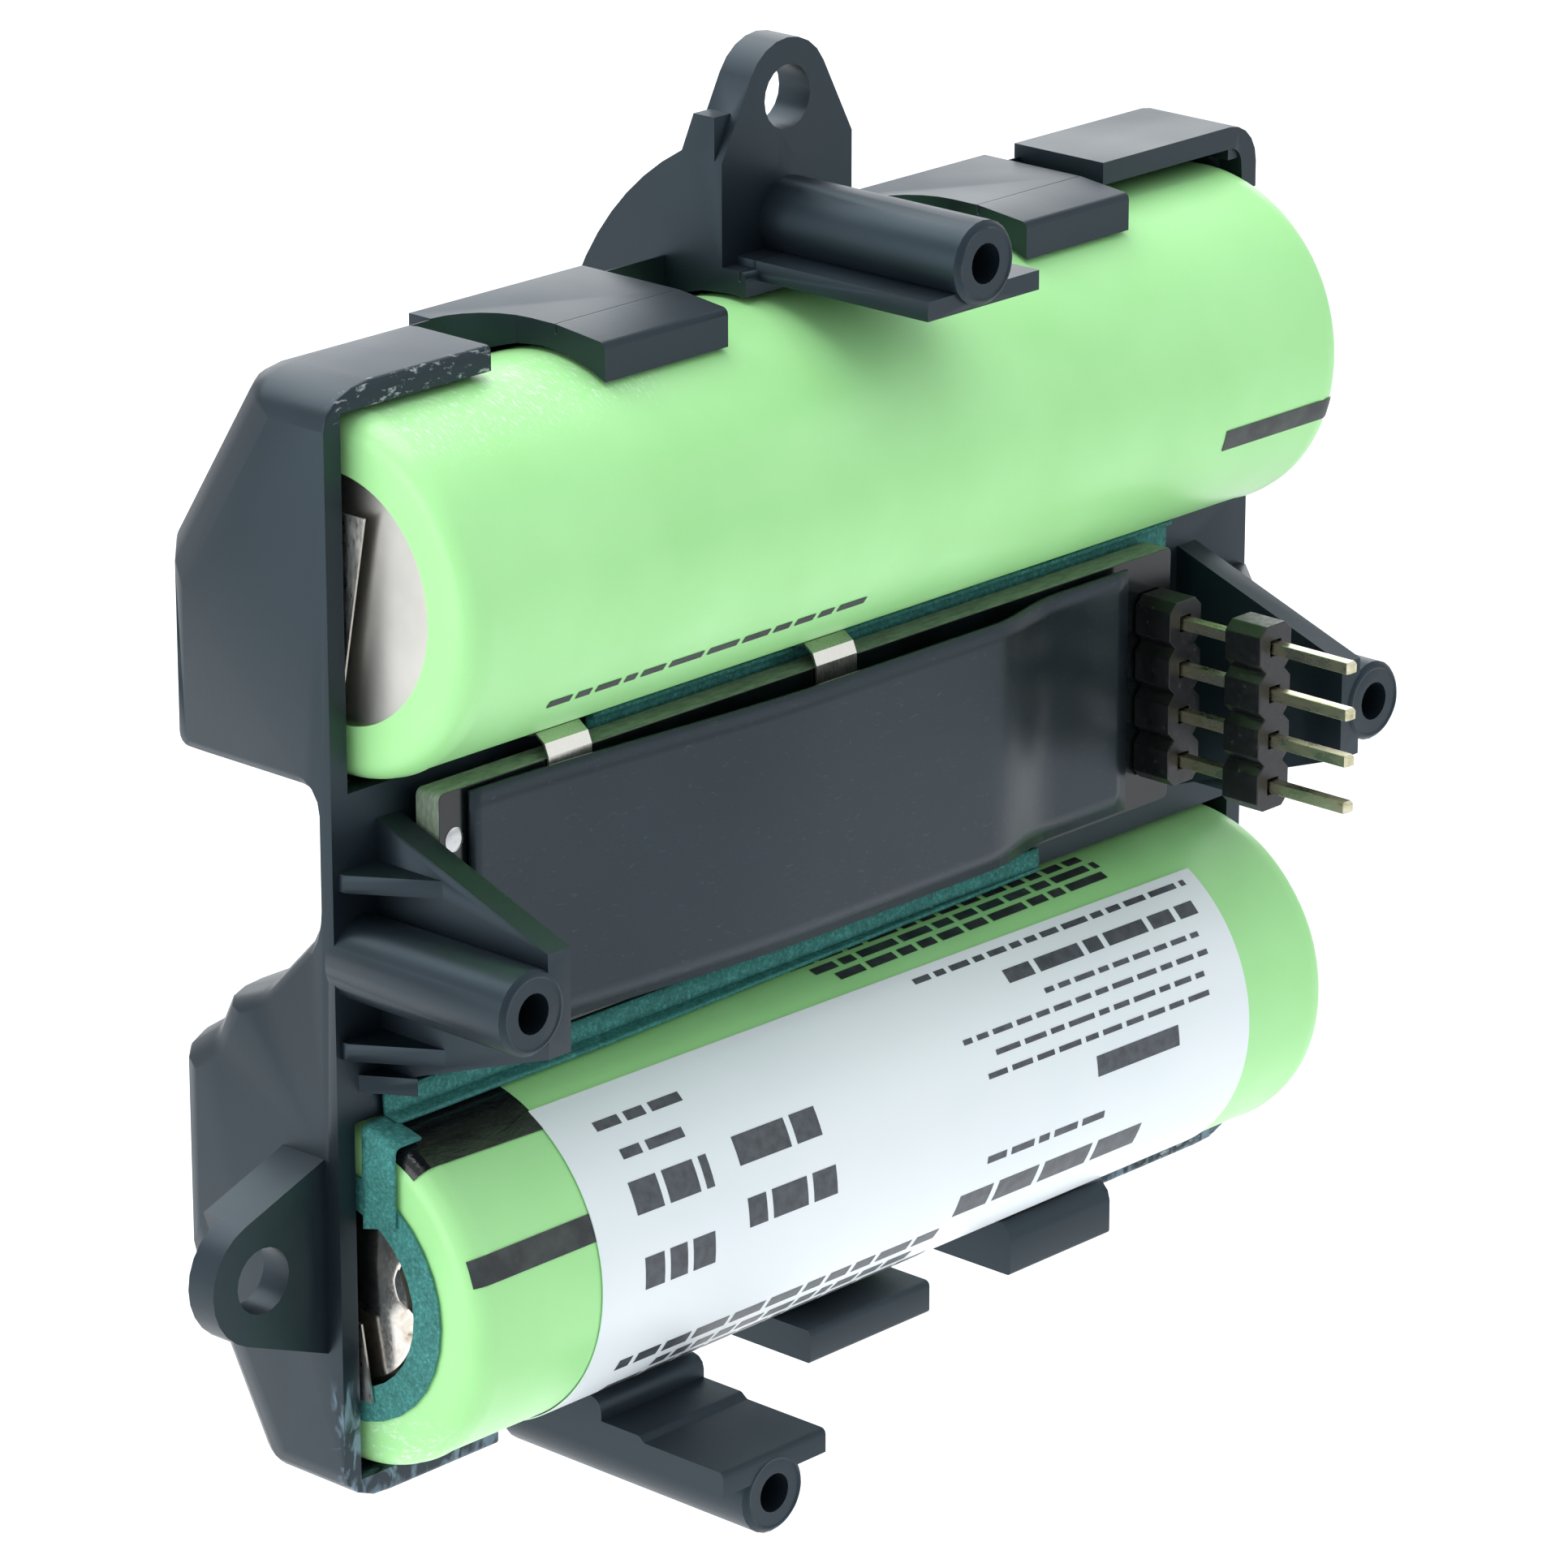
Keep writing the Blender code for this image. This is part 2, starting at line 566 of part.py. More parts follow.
def lug_pieces():
    """The top screw lug with the web behind it and the shelf in front, and the left ear."""
    shoulder = LUG_CENTRE[1] - LUG_SHOULDER_DROP
    left, right = LUG_CENTRE[0] - LUG_HALF_WIDTH, LUG_CENTRE[0] + LUG_HALF_WIDTH
    root = TOP_Z - 0.6 * MM
    face = [(left, root), (right, root), (right, shoulder)]
    face += nose(LUG_CENTRE, LUG_NOSE, (right, shoulder), (left, shoulder), 8)
    face += [(left, shoulder)]
    made = [front_plate("lug", face, LUG_FRONT, LUG_FRONT + LUG_THICK)]
    web_top = LUG_CENTRE[1] - 0.3 * MM
    centre = (BACK_Y - 15.85 * MM, TOP_Z - 9.48 * MM)
    sweep = arc(centre, 17.1 * MM, math.radians(61.3), math.radians(24), 7)
    web = [(LUG_FRONT + 0.5 * MM, root), (LUG_FRONT + 0.5 * MM, web_top)]
    web += [(LUG_FRONT + 1.9 * MM, web_top)]
    web += sweep + [(BACK_Y - 0.3 * MM, UPPER_Z), (CELL_AXIS_Y + POCKET_RADIUS, UPPER_Z)]
    made.append(plate("lug_web", "YZ", web, left, left + 1.5 * MM))
    low = (left + 1.05 * MM, 0.4 * MM, TOP_Z - 0.6 * MM)
    made.append(block("shelf", low, (right - 0.25 * MM, OPEN_BACK_Y + SINK, TOP_Z + 0.4 * MM)))
    wall = -OUTER_X + SINK
    ends = ((wall, LOWER_Z + EAR_ROOT[0]), (wall, LOWER_Z + EAR_ROOT[1]))
    ear = [ends[0], *nose(EAR_CENTRE, EAR_NOSE, ends[0], ends[1], 10), ends[1]]
    made.append(front_plate("ear", ear, EAR_FRONT, EAR_FRONT + EAR_THICK))
    top = Vector(ear[1])
    run = (Vector(ear[0]) - top).normalized()
    side = Vector((-run.y, run.x)) * -1.3 * MM
    rib = [ear[0], tuple(top), tuple(top + side), tuple(Vector(ear[0]) + side)]
    made.append(front_plate("ear_rib", rib, EAR_FRONT + EAR_THICK - SINK, EAR_FRONT + 2.9 * MM))
    return made


def clip(name, left, right, profile):
    """A clip that reaches forward over a cell, from its (y, z, radius) profile. The pocket that is cut
    afterwards shapes the side next to the cell."""
    return plate(name, "YZ", rounded(profile, 3), left, right)


def clip_pieces():
    """Two clips and the raised right tab over the upper cell, three under the lower one."""
    made = []
    back = OPEN_BACK_Y + 1.5 * MM
    bend = CELL_AXIS_Y - 0.9 * MM  # the clips' tops fall away in front of this
    front = CELL_AXIS_Y - 4.2 * MM
    for k, (left, right) in enumerate(TOP_CLIPS):
        name = f"top_clip_{k}"
        left, right = left - OUTER_X, right - OUTER_X
        profile = [
            (front, TOP_Z - TOP_CLIP_DEPTH, 0.25 * MM),
            (back, TOP_Z - TOP_CLIP_DEPTH, 0.0),
            (back, TOP_Z, 0.0),
            (bend, TOP_Z, 0.0),
            (front, TOP_Z - 0.35 * MM, 0.35 * MM),
        ]
        made.append(clip(name, left, right, profile))
        centre = (left - CLIP_FILLET, OPEN_BACK_Y - CLIP_FILLET)
        root = arc(centre, CLIP_FILLET, 0.0, math.pi / 2, 6)
        root += [(left - CLIP_FILLET, back), (left + SINK, back), (left + SINK, centre[1])]
        made.append(plate(f"{name}_root", "XY", root, TOP_Z - 2.2 * MM, TOP_Z))
    start = TOP_GAPS[1][1] - OUTER_X - RIGHT_TAB_REACH
    inner, low, top = INNER_X, TOP_Z - 0.6 * MM, TOP_Z + 0.6 * MM
    tab = [
        (start, low, 0.0),
        (inner - 0.2 * MM, low, 0.9 * MM),
        (inner, low - 2.4 * MM, 0.0),
        (OUTER_X, low - 2.4 * MM, 0.0),
        (OUTER_X, top, 2.2 * MM),
        (start, top, 0.0),
    ]
    tab_back = OPEN_BACK_Y + SINK
    made.append(front_plate("right_tab", rounded(tab, 5), RIM_Y - 0.2 * MM, tab_back))
    for k, (left, right, reach, low, high, curve) in enumerate(BOTTOM_CLIPS):
        front = CELL_AXIS_Y - reach
        profile = [
            (front, LOW_Z - low, 0.2 * MM),
            (tab_back, LOW_Z - low, 0.0),
            (tab_back, LOW_Z + high, 0.0),
            (front, LOW_Z + high, curve),
        ]
        made.append(clip(f"bottom_clip_{k}", left - OUTER_X, right - OUTER_X, profile))
    top = LOW_BOSS[1] + BOSS_RADIUS + 0.1 * MM
    step = CELL_AXIS_Y - 7.0 * MM
    shelf = [
        (0.0, LOW_Z - 0.75 * MM, 0.0),
        (tab_back, LOW_Z - 0.75 * MM, 0.0),
        (tab_back, top + 0.3 * MM, 0.0),
        (step, top + 0.3 * MM, 0.3 * MM),
        (step - 0.4 * MM, top, 0.3 * MM),
        (0.0, top, 0.3 * MM),
    ]
    left, right = BOTTOM_CLIPS[0][0] - OUTER_X, BOTTOM_CLIPS[0][1] - OUTER_X
    made.append(clip("bottom_shelf", left, right, shelf))
    return made


def build_cradle():
    body = trough_body()
    combine(body, "DIFFERENCE", trough_cuts())
    added = lug_pieces() + clip_pieces()
    added += side_bracket(-1, LEFT_BOSS[0]) + side_bracket(1, RIGHT_BOSS[0])
    added.append(boss("left_boss", LEFT_BOSS, RIM_Y + SINK))
    added.append(boss("right_boss", RIGHT_BOSS, RIM_Y + SINK))
    added.append(boss("top_boss", TOP_BOSS, LUG_FRONT + SINK))
    added.append(boss("low_boss", LOW_BOSS, OPEN_BACK_Y))
    combine(body, "UNION", added)
    side = shoulder_points(POCKET_RADIUS, INNER_X, POCKET_ROUND, 1)
    other = shoulder_points(POCKET_RADIUS, INNER_X, POCKET_ROUND, -1)
    pocket = [(0, INNER_X), *side, *other[::-1], (0, -INNER_X)]
    cuts = []
    for name, axis_z in (("upper_pocket", UPPER_Z), ("lower_pocket", LOWER_Z)):
        cuts.append(along_x(name, pocket, axis_z, 1, None, home=HELPERS))
    cuts.append(bore("left_bore", LEFT_BOSS, BOSS_BORE, -1 * MM, RIM_Y - 0.6 * MM))
    cuts.append(bore("right_bore", RIGHT_BOSS, BOSS_BORE, -1 * MM, RIM_Y - 0.6 * MM))
    cuts.append(bore("top_bore", TOP_BOSS, BOSS_BORE, -1 * MM, LUG_FRONT - 0.6 * MM))
    cuts.append(bore("low_bore", LOW_BOSS, BOSS_BORE, -1 * MM, 12.0 * MM))
    past = LUG_THICK + 4 * MM
    cuts.append(bore("lug_hole", LUG_CENTRE, LUG_HOLE, LUG_FRONT - 2 * MM, LUG_FRONT + past))
    cuts.append(bore("ear_hole", EAR_CENTRE, EAR_HOLE, EAR_FRONT - 2 * MM, EAR_FRONT + past))
    combine(body, "DIFFERENCE", cuts)


# The cells


def shoulder_points(radius, end, size, way):
    """The rounded shoulder of a cell, from its flat end to its side. Way is +1 for the upper end."""
    turns = [math.radians(90 * k / 3) for k in range(4)]
    return [
        (radius - size + size * math.sin(t), way * (end - size + size * math.cos(t))) for t in turns
    ]


def build_cell(prefix, axis_z, facing):
    """One cell. Heights run from its flat, negative end to its positive one, which faces +X or -X."""
    end = CELL_END
    inner = CELL_RADIUS - SLEEVE_WALL
    outer_side = shoulder_points(CELL_RADIUS, end, SHOULDER, 1)
    outer_side += shoulder_points(CELL_RADIUS, end, SHOULDER, -1)[::-1]
    inner_side = shoulder_points(inner, end - SLEEVE_WALL, SHOULDER - SLEEVE_WALL, 1)
    inner_side += shoulder_points(inner, end - SLEEVE_WALL, SHOULDER - SLEEVE_WALL, -1)[::-1]
    sleeve = [(SLEEVE_HOLE, end)] + outer_side + [(SLEEVE_HOLE, -end)]
    sleeve += [(SLEEVE_HOLE, SLEEVE_WALL - end)] + inner_side[::-1] + [(SLEEVE_HOLE, end - SLEEVE_WALL)]
    along_x(f"{prefix}_cell_sleeve", sleeve, axis_z, facing, sleeve_green())

    can_radius = inner - FILM_GAP
    can_end = end - SLEEVE_WALL - FILM_GAP
    bore_radius = can_radius - CAN_WALL
    groove = end - CAN_GROOVE_FROM_END
    waist = can_radius - CAN_GROOVE_DEPTH
    crimp = can_radius - CRIMP_LIP
    can = [
        (0, -can_end),
        (can_radius - SHOULDER, -can_end),
        (can_radius, SHOULDER - can_end),
        (can_radius, groove - 0.7 * MM),
        (waist, groove),
        (can_radius, groove + 0.7 * MM),
        (can_radius, can_end - 0.6 * MM),
        (can_radius - 0.6 * MM, can_end),
        (crimp, can_end),
        (crimp, can_end - CAN_WALL),
        (bore_radius - 0.6 * MM, can_end - CAN_WALL),
        (bore_radius, can_end - CAN_WALL - 0.6 * MM),
        (bore_radius, groove + 0.7 * MM),
        (waist - CAN_WALL, groove),
        (bore_radius, groove - 0.7 * MM),
        (bore_radius, SHOULDER - can_end),
        (bore_radius - 0.6 * MM, CAN_WALL - can_end),
        (0, CAN_WALL - can_end),
    ]
    steel = material("nickel_plated_steel", (0.55, 0.54, 0.52), 0.3, 1.0)
    along_x(f"{prefix}_cell_can", can, axis_z, facing, steel)

    roll_top = groove - 2.2 * MM
    roll = [
        (WINDING_HOLE, CAN_WALL + PART_GAP - can_end),
        (bore_radius - 0.9 * MM, CAN_WALL + PART_GAP - can_end),
        (bore_radius - PART_GAP, CAN_WALL + PART_GAP + 0.8 * MM - can_end),
        (bore_radius - PART_GAP, roll_top),
        (WINDING_HOLE, roll_top),
    ]
    foil = material("wound_electrode_foil", (0.16, 0.12, 0.10), 0.5, 0.3)
    along_x(f"{prefix}_cell_winding", roll, axis_z, facing, foil, 24)

    seat = groove + 1.3 * MM
    lid_top = can_end - CAN_WALL - PART_GAP - 0.45 * MM
    gasket_out = bore_radius - PART_GAP
    gasket_in = crimp - 0.5 * MM
    gasket = [
        (gasket_in, lid_top + 0.2 * MM),
        (gasket_out - 0.9 * MM, lid_top + 0.2 * MM),
        (gasket_out - 0.9 * MM, seat + 0.5 * MM),
        (gasket_in, seat + 0.5 * MM),
        (gasket_in, seat),
        (gasket_out, seat),
        (gasket_out, lid_top),
        (gasket_out - 0.5 * MM, lid_top + 0.5 * MM),
        (gasket_in, lid_top + 0.5 * MM),
    ]
    rubber = material("gasket_polymer", (0.75, 0.75, 0.72), 0.5)
    along_x(f"{prefix}_cell_gasket", gasket, axis_z, facing, rubber, 24)

    lid_low = seat + 0.5 * MM + 0.2 * MM
    lid_radius = gasket_out - 0.9 * MM - 0.2 * MM
    lid = [
        (0, end - 0.25 * MM),
        (CAP_BUTTON_RADIUS, end - 0.25 * MM),
        (CAP_BUTTON_RADIUS + 0.4 * MM, lid_top),
        (lid_radius, lid_top),
        (lid_radius, lid_low),
        (CAP_BUTTON_RADIUS, lid_low),
        (CAP_BUTTON_RADIUS - 0.6 * MM, end - 0.75 * MM),
        (0, end - 0.75 * MM),
    ]
    along_x(f"{prefix}_cell_cap", lid, axis_z, facing, nickel(), 24)

    face = end + FILM_GAP
    ring = [
        (WASHER_RADII[0], face),
        (WASHER_RADII[1], face),
        (WASHER_RADII[1], face + FILM),
        (WASHER_RADII[0], face + FILM),
    ]
    along_x(f"{prefix}_cell_washer", ring, axis_z, facing, barley_paper(), 32)


def build_films():
    skin = CELL_RADIUS + FILM_GAP
    label = material("white_label_film", (0.88, 0.92, 0.94), 0.3)
    wrap("label", LOWER_Z, LABEL_ANGLES, LABEL_X, skin, skin + FILM, label, LABEL_LEAN)
    tape = material("black_tape", (0.012, 0.012, 0.014), 0.15)
    wrap("black_tape", LOWER_Z, TAPE_ANGLES, TAPE_X, skin, skin + FILM, tape)


# The board and what it carries


def build_board():
    corners = [
        (BOARD_X[0], BOARD_Z[0], BOARD_CORNER),
        (BOARD_X[1], BOARD_Z[0], BOARD_CORNER),
        (BOARD_X[1], BOARD_Z[1], BOARD_CORNER),
        (BOARD_X[0], BOARD_Z[1], BOARD_CORNER),
    ]
    reach = PIN_SIDE / 2 + PIN_HOLE_GAP
    holes = [box_outline((PIN_X - reach, z - reach), (PIN_X + reach, z + reach)) for z in pin_heights()]
    fibre = material("glass_epoxy_board", (0.05, 0.09, 0.07), 0.4)
    front_plate("circuit_board", rounded(corners), BOARD_FRONT, BOARD_BACK, fibre, holes, PACK)


def pin_heights():
    return [PIN_ROW_Z + PIN_PITCH * ((PIN_COUNT - 1) / 2 - k) for k in range(PIN_COUNT)]


def build_components():
    """The protection circuit's parts on the front of the board, under the card."""
    epoxy = material("black_epoxy", (0.02, 0.02, 0.02), 0.5)
    tin = material("tinned_terminal", (0.7, 0.7, 0.68), 0.3, 1.0)
    # Each has its place left of the pins and over the row's middle, its width, height and thickness
    parts = (
        ("protection_ic", 25.9, 0.7, 3.0, 3.0, 0.85, epoxy),
        ("charge_mosfet", 20.1, 0.3, 4.4, 3.0, 0.85, epoxy),
        ("discharge_mosfet", 14.6, 0.3, 4.4, 3.0, 0.85, epoxy),
        ("sense_resistor", 16.5, -3.9, 3.2, 1.6, 0.6, tin),
        ("thermistor", 20.9, -3.9, 1.6, 0.8, 0.6, epoxy),
        ("balance_resistor", 25.9, -3.9, 2.0, 1.25, 0.5, epoxy),
    )
    for name, left, above, wide, high, thick, finish in parts:
        front = BOARD_FRONT - FILM_GAP
        x, z = PIN_X - left * MM, PIN_ROW_Z + above * MM
        low = (x - wide / 2 * MM, front - thick * MM, z - high / 2 * MM)
        top = (x + wide / 2 * MM, front, z + high / 2 * MM)
        block(name, low, top, finish, PACK)


def ease(share):
    share = min(1.0, max(0.0, share))
    return share * share * (3 - 2 * share)


def build_card():
    """The insulating card: flat on the board at its left, and lifted over the components further right."""
    near = BOARD_FRONT - 0.25 * MM
    count = 18
    length = CARD_X[1] - CARD_X[0]
    path = []
    for k in range(count + 1):
        x = CARD_X[0] + length * k / count
        rise = ease((x - CARD_X[0]) / CARD_RISE)
        rise -= CARD_FALL_SHARE * ease((x + CARD_FLAT - CARD_X[1]) / CARD_FALL + 1)
        path.append((x, near - CARD_LIFT * rise))
    finish = material("insulating_card", (0.06, 0.075, 0.085), 0.35)
    strip("insulator_card", path, "Z", CARD_Z, 0.2 * MM, finish)


def build_header():
    """Four square pins in two notched insulators, one on the board and one further out."""
    plastic = material("header_plastic", (0.012, 0.012, 0.013), 0.35)
    half, notch = SPACER_WIDTH / 2, 0.5 * MM
    reach = PIN_SIDE / 2 + FILM_GAP
    left, right = [], []
    for z in pin_heights():
        top, low = z + PIN_PITCH / 2, z - PIN_PITCH / 2
        left += [
            (PIN_X - half + notch, top),
            (PIN_X - half, top - notch),
            (PIN_X - half, low + notch),
        ]
        right += [
            (PIN_X + half - notch, top),
            (PIN_X + half, top - notch),
            (PIN_X + half, low + notch),
        ]
    left.append((PIN_X - half + notch, pin_heights()[-1] - PIN_PITCH / 2))
    right.append((PIN_X + half - notch, pin_heights()[-1] - PIN_PITCH / 2))
    outline = left + right[::-1]
    holes = [box_outline((PIN_X - reach, z - reach), (PIN_X + reach, z + reach)) for z in pin_heights()]
    inner_back = BOARD_FRONT - 0.1 * MM
    outer_back = inner_back - SPACER_DEPTH - SPACER_CLEAR
    for name, back in (("header_inner_insulator", inner_back), ("header_outer_insulator", outer_back)):
        front_plate(name, outline, back - SPACER_DEPTH, back, plastic, holes, PACK)
    pin_metal = material("header_pin_metal", (0.62, 0.56, 0.40), 0.25, 1.0)
    for k, z in enumerate(pin_heights()):
        pin(f"header_pin_{k + 1}", z, pin_metal)


def pin(name, z, finish):
    """A square pin along Y with a short four-sided taper at its tip."""
    half = PIN_SIDE / 2
    stations = (
        (PIN_TIP, half * 0.7),
        (PIN_TIP + 0.25 * MM, half),
        (BOARD_BACK - FILM_GAP, half),
    )
    shape = bmesh.new()
    rings = []
    for y, reach in stations:
        corners = ((-reach, -reach), (reach, -reach), (reach, reach), (-reach, reach))
        rings.append([shape.verts.new((PIN_X + u, y, z + v)) for u, v in corners])
    for first, second in zip(rings, rings[1:]):
        for k in range(4):
            shape.faces.new((first[k], first[(k + 1) % 4], second[(k + 1) % 4], second[k]))
    shape.faces.new(rings[0])
    shape.faces.new(rings[-1])
    bmesh.ops.recalc_face_normals(shape, faces=shape.faces)
    mesh = bpy.data.meshes.new(name)
    shape.to_mesh(mesh)
    shape.free()
    add_object(name, mesh, finish, PACK)


# Nickel strips and papers


def build_strips():
    """The nickel strips welded to the cells' ends, and the two that lead over the board's upper edge."""
    weld = CELL_END + FILM_GAP + FILM + FILM_GAP
    negative = [
        (CELL_AXIS_Y - 2.6 * MM, UPPER_Z + 4.5 * MM),
        (CELL_AXIS_Y + 2.4 * MM, UPPER_Z + 4.5 * MM),
        (CELL_AXIS_Y + 4.4 * MM, UPPER_Z - 6.0 * MM),
        (CELL_AXIS_Y - 0.6 * MM, UPPER_Z - 6.0 * MM),
    ]
    plate("negative_tab", "YZ", negative, -weld - STRIP, -weld, nickel(), home=PACK)
    positive = [
        (CELL_AXIS_Y - 1.3 * MM, LOWER_Z - 1.2 * MM),
        (CELL_AXIS_Y + 3.6 * MM, LOWER_Z - 0.4 * MM),
        (CELL_AXIS_Y + 3.6 * MM, LOWER_Z - 5.6 * MM),
        (CELL_AXIS_Y - 2.0 * MM, LOWER_Z - 5.2 * MM),
    ]
    plate("positive_tab", "YZ", positive, -weld - STRIP, -weld, nickel(), home=PACK)
    for name, axis_z, way in (("series_tab_upper", UPPER_Z, -1), ("series_tab_lower", LOWER_Z, 1)):
        tab = [
            (CELL_AXIS_Y - 2.4 * MM, axis_z - way * 4.0 * MM),
            (CELL_AXIS_Y + 2.6 * MM, axis_z - way * 4.0 * MM),
            (CELL_AXIS_Y + 2.6 * MM, axis_z + way * 7.6 * MM),
            (CELL_AXIS_Y - 2.4 * MM, axis_z + way * 7.6 * MM),
        ]
        plate(name, "YZ", tab, weld, weld + STRIP, nickel(), home=PACK)
    front = BOARD_FRONT - 0.12 * MM
    top = BOARD_Z[1]
    path = [(front, top - 2.8 * MM), (front, top + 0.1 * MM), (front + 0.25 * MM, top + 0.7 * MM)]
    under = CELL_RADIUS + 0.16 * MM
    path += [
        (CELL_AXIS_Y - under * math.sin(t), UPPER_Z - under * math.cos(t))
        for t in (math.radians(19), math.radians(12), math.radians(5))
    ]
    for name, place in (("negative_lead", 7.3 * MM), ("mid_tap_lead", 26.45 * MM)):
        left = BOARD_X[0] + place
        strip(name, path, "X", (left, left + LEAD_WIDTH), STRIP, nickel())


def build_papers():
    """The green papers that keep the board off the cells: one turned up under the upper cell, and one
    turned forward over the lower cell, with a tail folded down over that cell's left end."""
    behind = RIM_Y - 0.2 * MM
    drop = POCKET_RADIUS + 0.12 * MM
    turns = (math.radians(9.5), math.radians(13), math.radians(16.5))
    upper = [(behind, BOARD_Z[0] - 0.6 * MM), (behind, BOARD_Z[1] - 0.6 * MM)]
    upper += [(CELL_AXIS_Y - drop * math.sin(t), UPPER_Z - drop * math.cos(t)) for t in turns]
    span = (BOARD_X[0] + 12.3 * MM, CELL_END - 5.4 * MM)
    strip("upper_paper", upper, "X", span, PAPER, barley_paper())
    lower = [(behind, BOARD_Z[0] - 1.2 * MM), (behind, BOARD_Z[0] - 1.8 * MM)]
    lower += [(CELL_AXIS_Y - drop * math.sin(t), LOWER_Z + drop * math.cos(t)) for t in turns]
    span = (-CELL_END - 0.4 * MM, CELL_END - 15.4 * MM)
    sheet = strip("lower_paper", lower, "X", span, PAPER, barley_paper())
    edge = drop + 0.05 * MM
    tail = [(CELL_AXIS_Y - edge * math.sin(t), LOWER_Z + edge * math.cos(t)) for t in turns]
    tail += [
        (CELL_AXIS_Y - 3.5 * MM, LOWER_Z + 8.55 * MM),
        (CELL_AXIS_Y - 3.85 * MM, LOWER_Z + 7.6 * MM),
        (CELL_AXIS_Y - 3.9 * MM, LOWER_Z + 4.5 * MM),
        (CELL_AXIS_Y - 1.55 * MM, LOWER_Z + 3.9 * MM),
    ]
    tail = plate("paper_tail", "YZ", tail, span[0], span[0] + PAPER)
    combine(sheet, "UNION", [tail])


clear_scene()
build_cradle()
build_cell("upper", UPPER_Z, 1)
build_cell("lower", LOWER_Z, -1)
build_films()
build_board()
build_components()
build_card()
build_header()
build_strips()
build_papers()
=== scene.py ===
import math
import random

import bmesh
import bpy
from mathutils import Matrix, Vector, noise


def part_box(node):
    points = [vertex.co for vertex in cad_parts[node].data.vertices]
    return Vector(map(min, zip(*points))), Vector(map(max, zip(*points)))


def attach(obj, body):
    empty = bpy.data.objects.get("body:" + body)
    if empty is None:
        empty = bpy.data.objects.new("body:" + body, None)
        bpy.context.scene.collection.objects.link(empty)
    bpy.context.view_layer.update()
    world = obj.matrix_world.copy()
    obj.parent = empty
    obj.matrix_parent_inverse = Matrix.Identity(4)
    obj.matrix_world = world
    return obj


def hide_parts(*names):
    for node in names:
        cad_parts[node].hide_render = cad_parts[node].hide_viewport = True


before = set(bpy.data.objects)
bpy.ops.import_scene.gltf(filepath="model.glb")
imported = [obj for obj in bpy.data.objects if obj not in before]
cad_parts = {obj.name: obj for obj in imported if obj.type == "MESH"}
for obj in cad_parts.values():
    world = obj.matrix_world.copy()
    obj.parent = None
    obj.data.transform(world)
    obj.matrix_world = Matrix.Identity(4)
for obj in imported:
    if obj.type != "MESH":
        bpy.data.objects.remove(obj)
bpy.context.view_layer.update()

# Camera, floor and light. The pack is seen from its left and a little above, through a long lens. It hangs
# over a wide pale floor, in the even light of large soft boxes.
MM = 0.001
AZIMUTH = math.radians(-47.18)
ELEVATION = math.radians(19.155)
AIM = Vector((-1.07, 12.8, 0.5)) * MM
DISTANCE = 378.2 * MM
FLOOR_DROP = 0.16

lens = bpy.data.cameras.new("camera")
lens.lens = 170.3
lens.sensor_width = 36.0
lens.clip_start = 0.01
lens.clip_end = 20.0
camera = bpy.data.objects.new("camera", lens)
bpy.context.scene.collection.objects.link(camera)
ahead = Vector((
    -math.sin(AZIMUTH) * math.cos(ELEVATION),
    math.cos(AZIMUTH) * math.cos(ELEVATION),
    -math.sin(ELEVATION),
))
camera.location = AIM - ahead * DISTANCE
camera.rotation_euler = (math.pi / 2 - ELEVATION, 0.0, AZIMUTH)
bpy.context.scene.camera = camera
bpy.context.scene.view_settings.view_transform = "Standard"


def linear(hexa):
    """An sRGB hex colour as the linear values that a shader takes."""
    parts = [int(hexa[k:k + 2], 16) / 255 for k in (1, 3, 5)]
    return tuple(p / 12.92 if p <= 0.04045 else ((p + 0.055) / 1.055) ** 2.4 for p in parts) + (1.0,)


def add(tree, kind, inputs=(), out=0, stops=(), **settings):
    """Adds a shader node with its settings, its inputs (each a value or a socket to link) and, on a colour
    ramp, its (position, colour) stops. Gives the output asked for."""
    made = tree.nodes.new("ShaderNode" + kind)
    for name, value in settings.items():
        setattr(made, name, value)
    for socket, value in dict(inputs).items():
        if isinstance(value, bpy.types.NodeSocket):
            tree.links.new(value, made.inputs[socket])
        else:
            made.inputs[socket].default_value = value
    for k, (position, colour) in enumerate(stops):
        if k == len(made.color_ramp.elements):
            made.color_ramp.elements.new(position)
        made.color_ramp.elements[k].position = position
        made.color_ramp.elements[k].color = colour
    return made.outputs[out] if made.outputs else made


def new_material(name):
    """A material without nodes, its node tree, and the place on the object that patterns are laid by."""
    made = bpy.data.materials.new(name)
    made.use_nodes = True
    made.node_tree.nodes.clear()
    return made, made.node_tree, add(made.node_tree, "TexCoord", out="Object")


# Matt white paint, which shows no reflection of the pack
floor_paint, tree, place = new_material("matt_white_paint")
shader = add(tree, "BsdfPrincipled", {"Base Color": linear("#F7F7F7"), "Roughness": 0.9})
add(tree, "OutputMaterial", {"Surface": shader})
bpy.ops.mesh.primitive_plane_add(size=12.0, location=(0, 0, -FLOOR_DROP))
floor = bpy.context.object
floor.name = "floor"
floor.data.materials.append(floor_paint)

world = bpy.data.worlds.new("studio")
world.use_nodes = True
world.node_tree.nodes["Background"].inputs["Color"].default_value = linear("#F6FAFF")
world.node_tree.nodes["Background"].inputs["Strength"].default_value = 0.78
bpy.context.scene.world = world

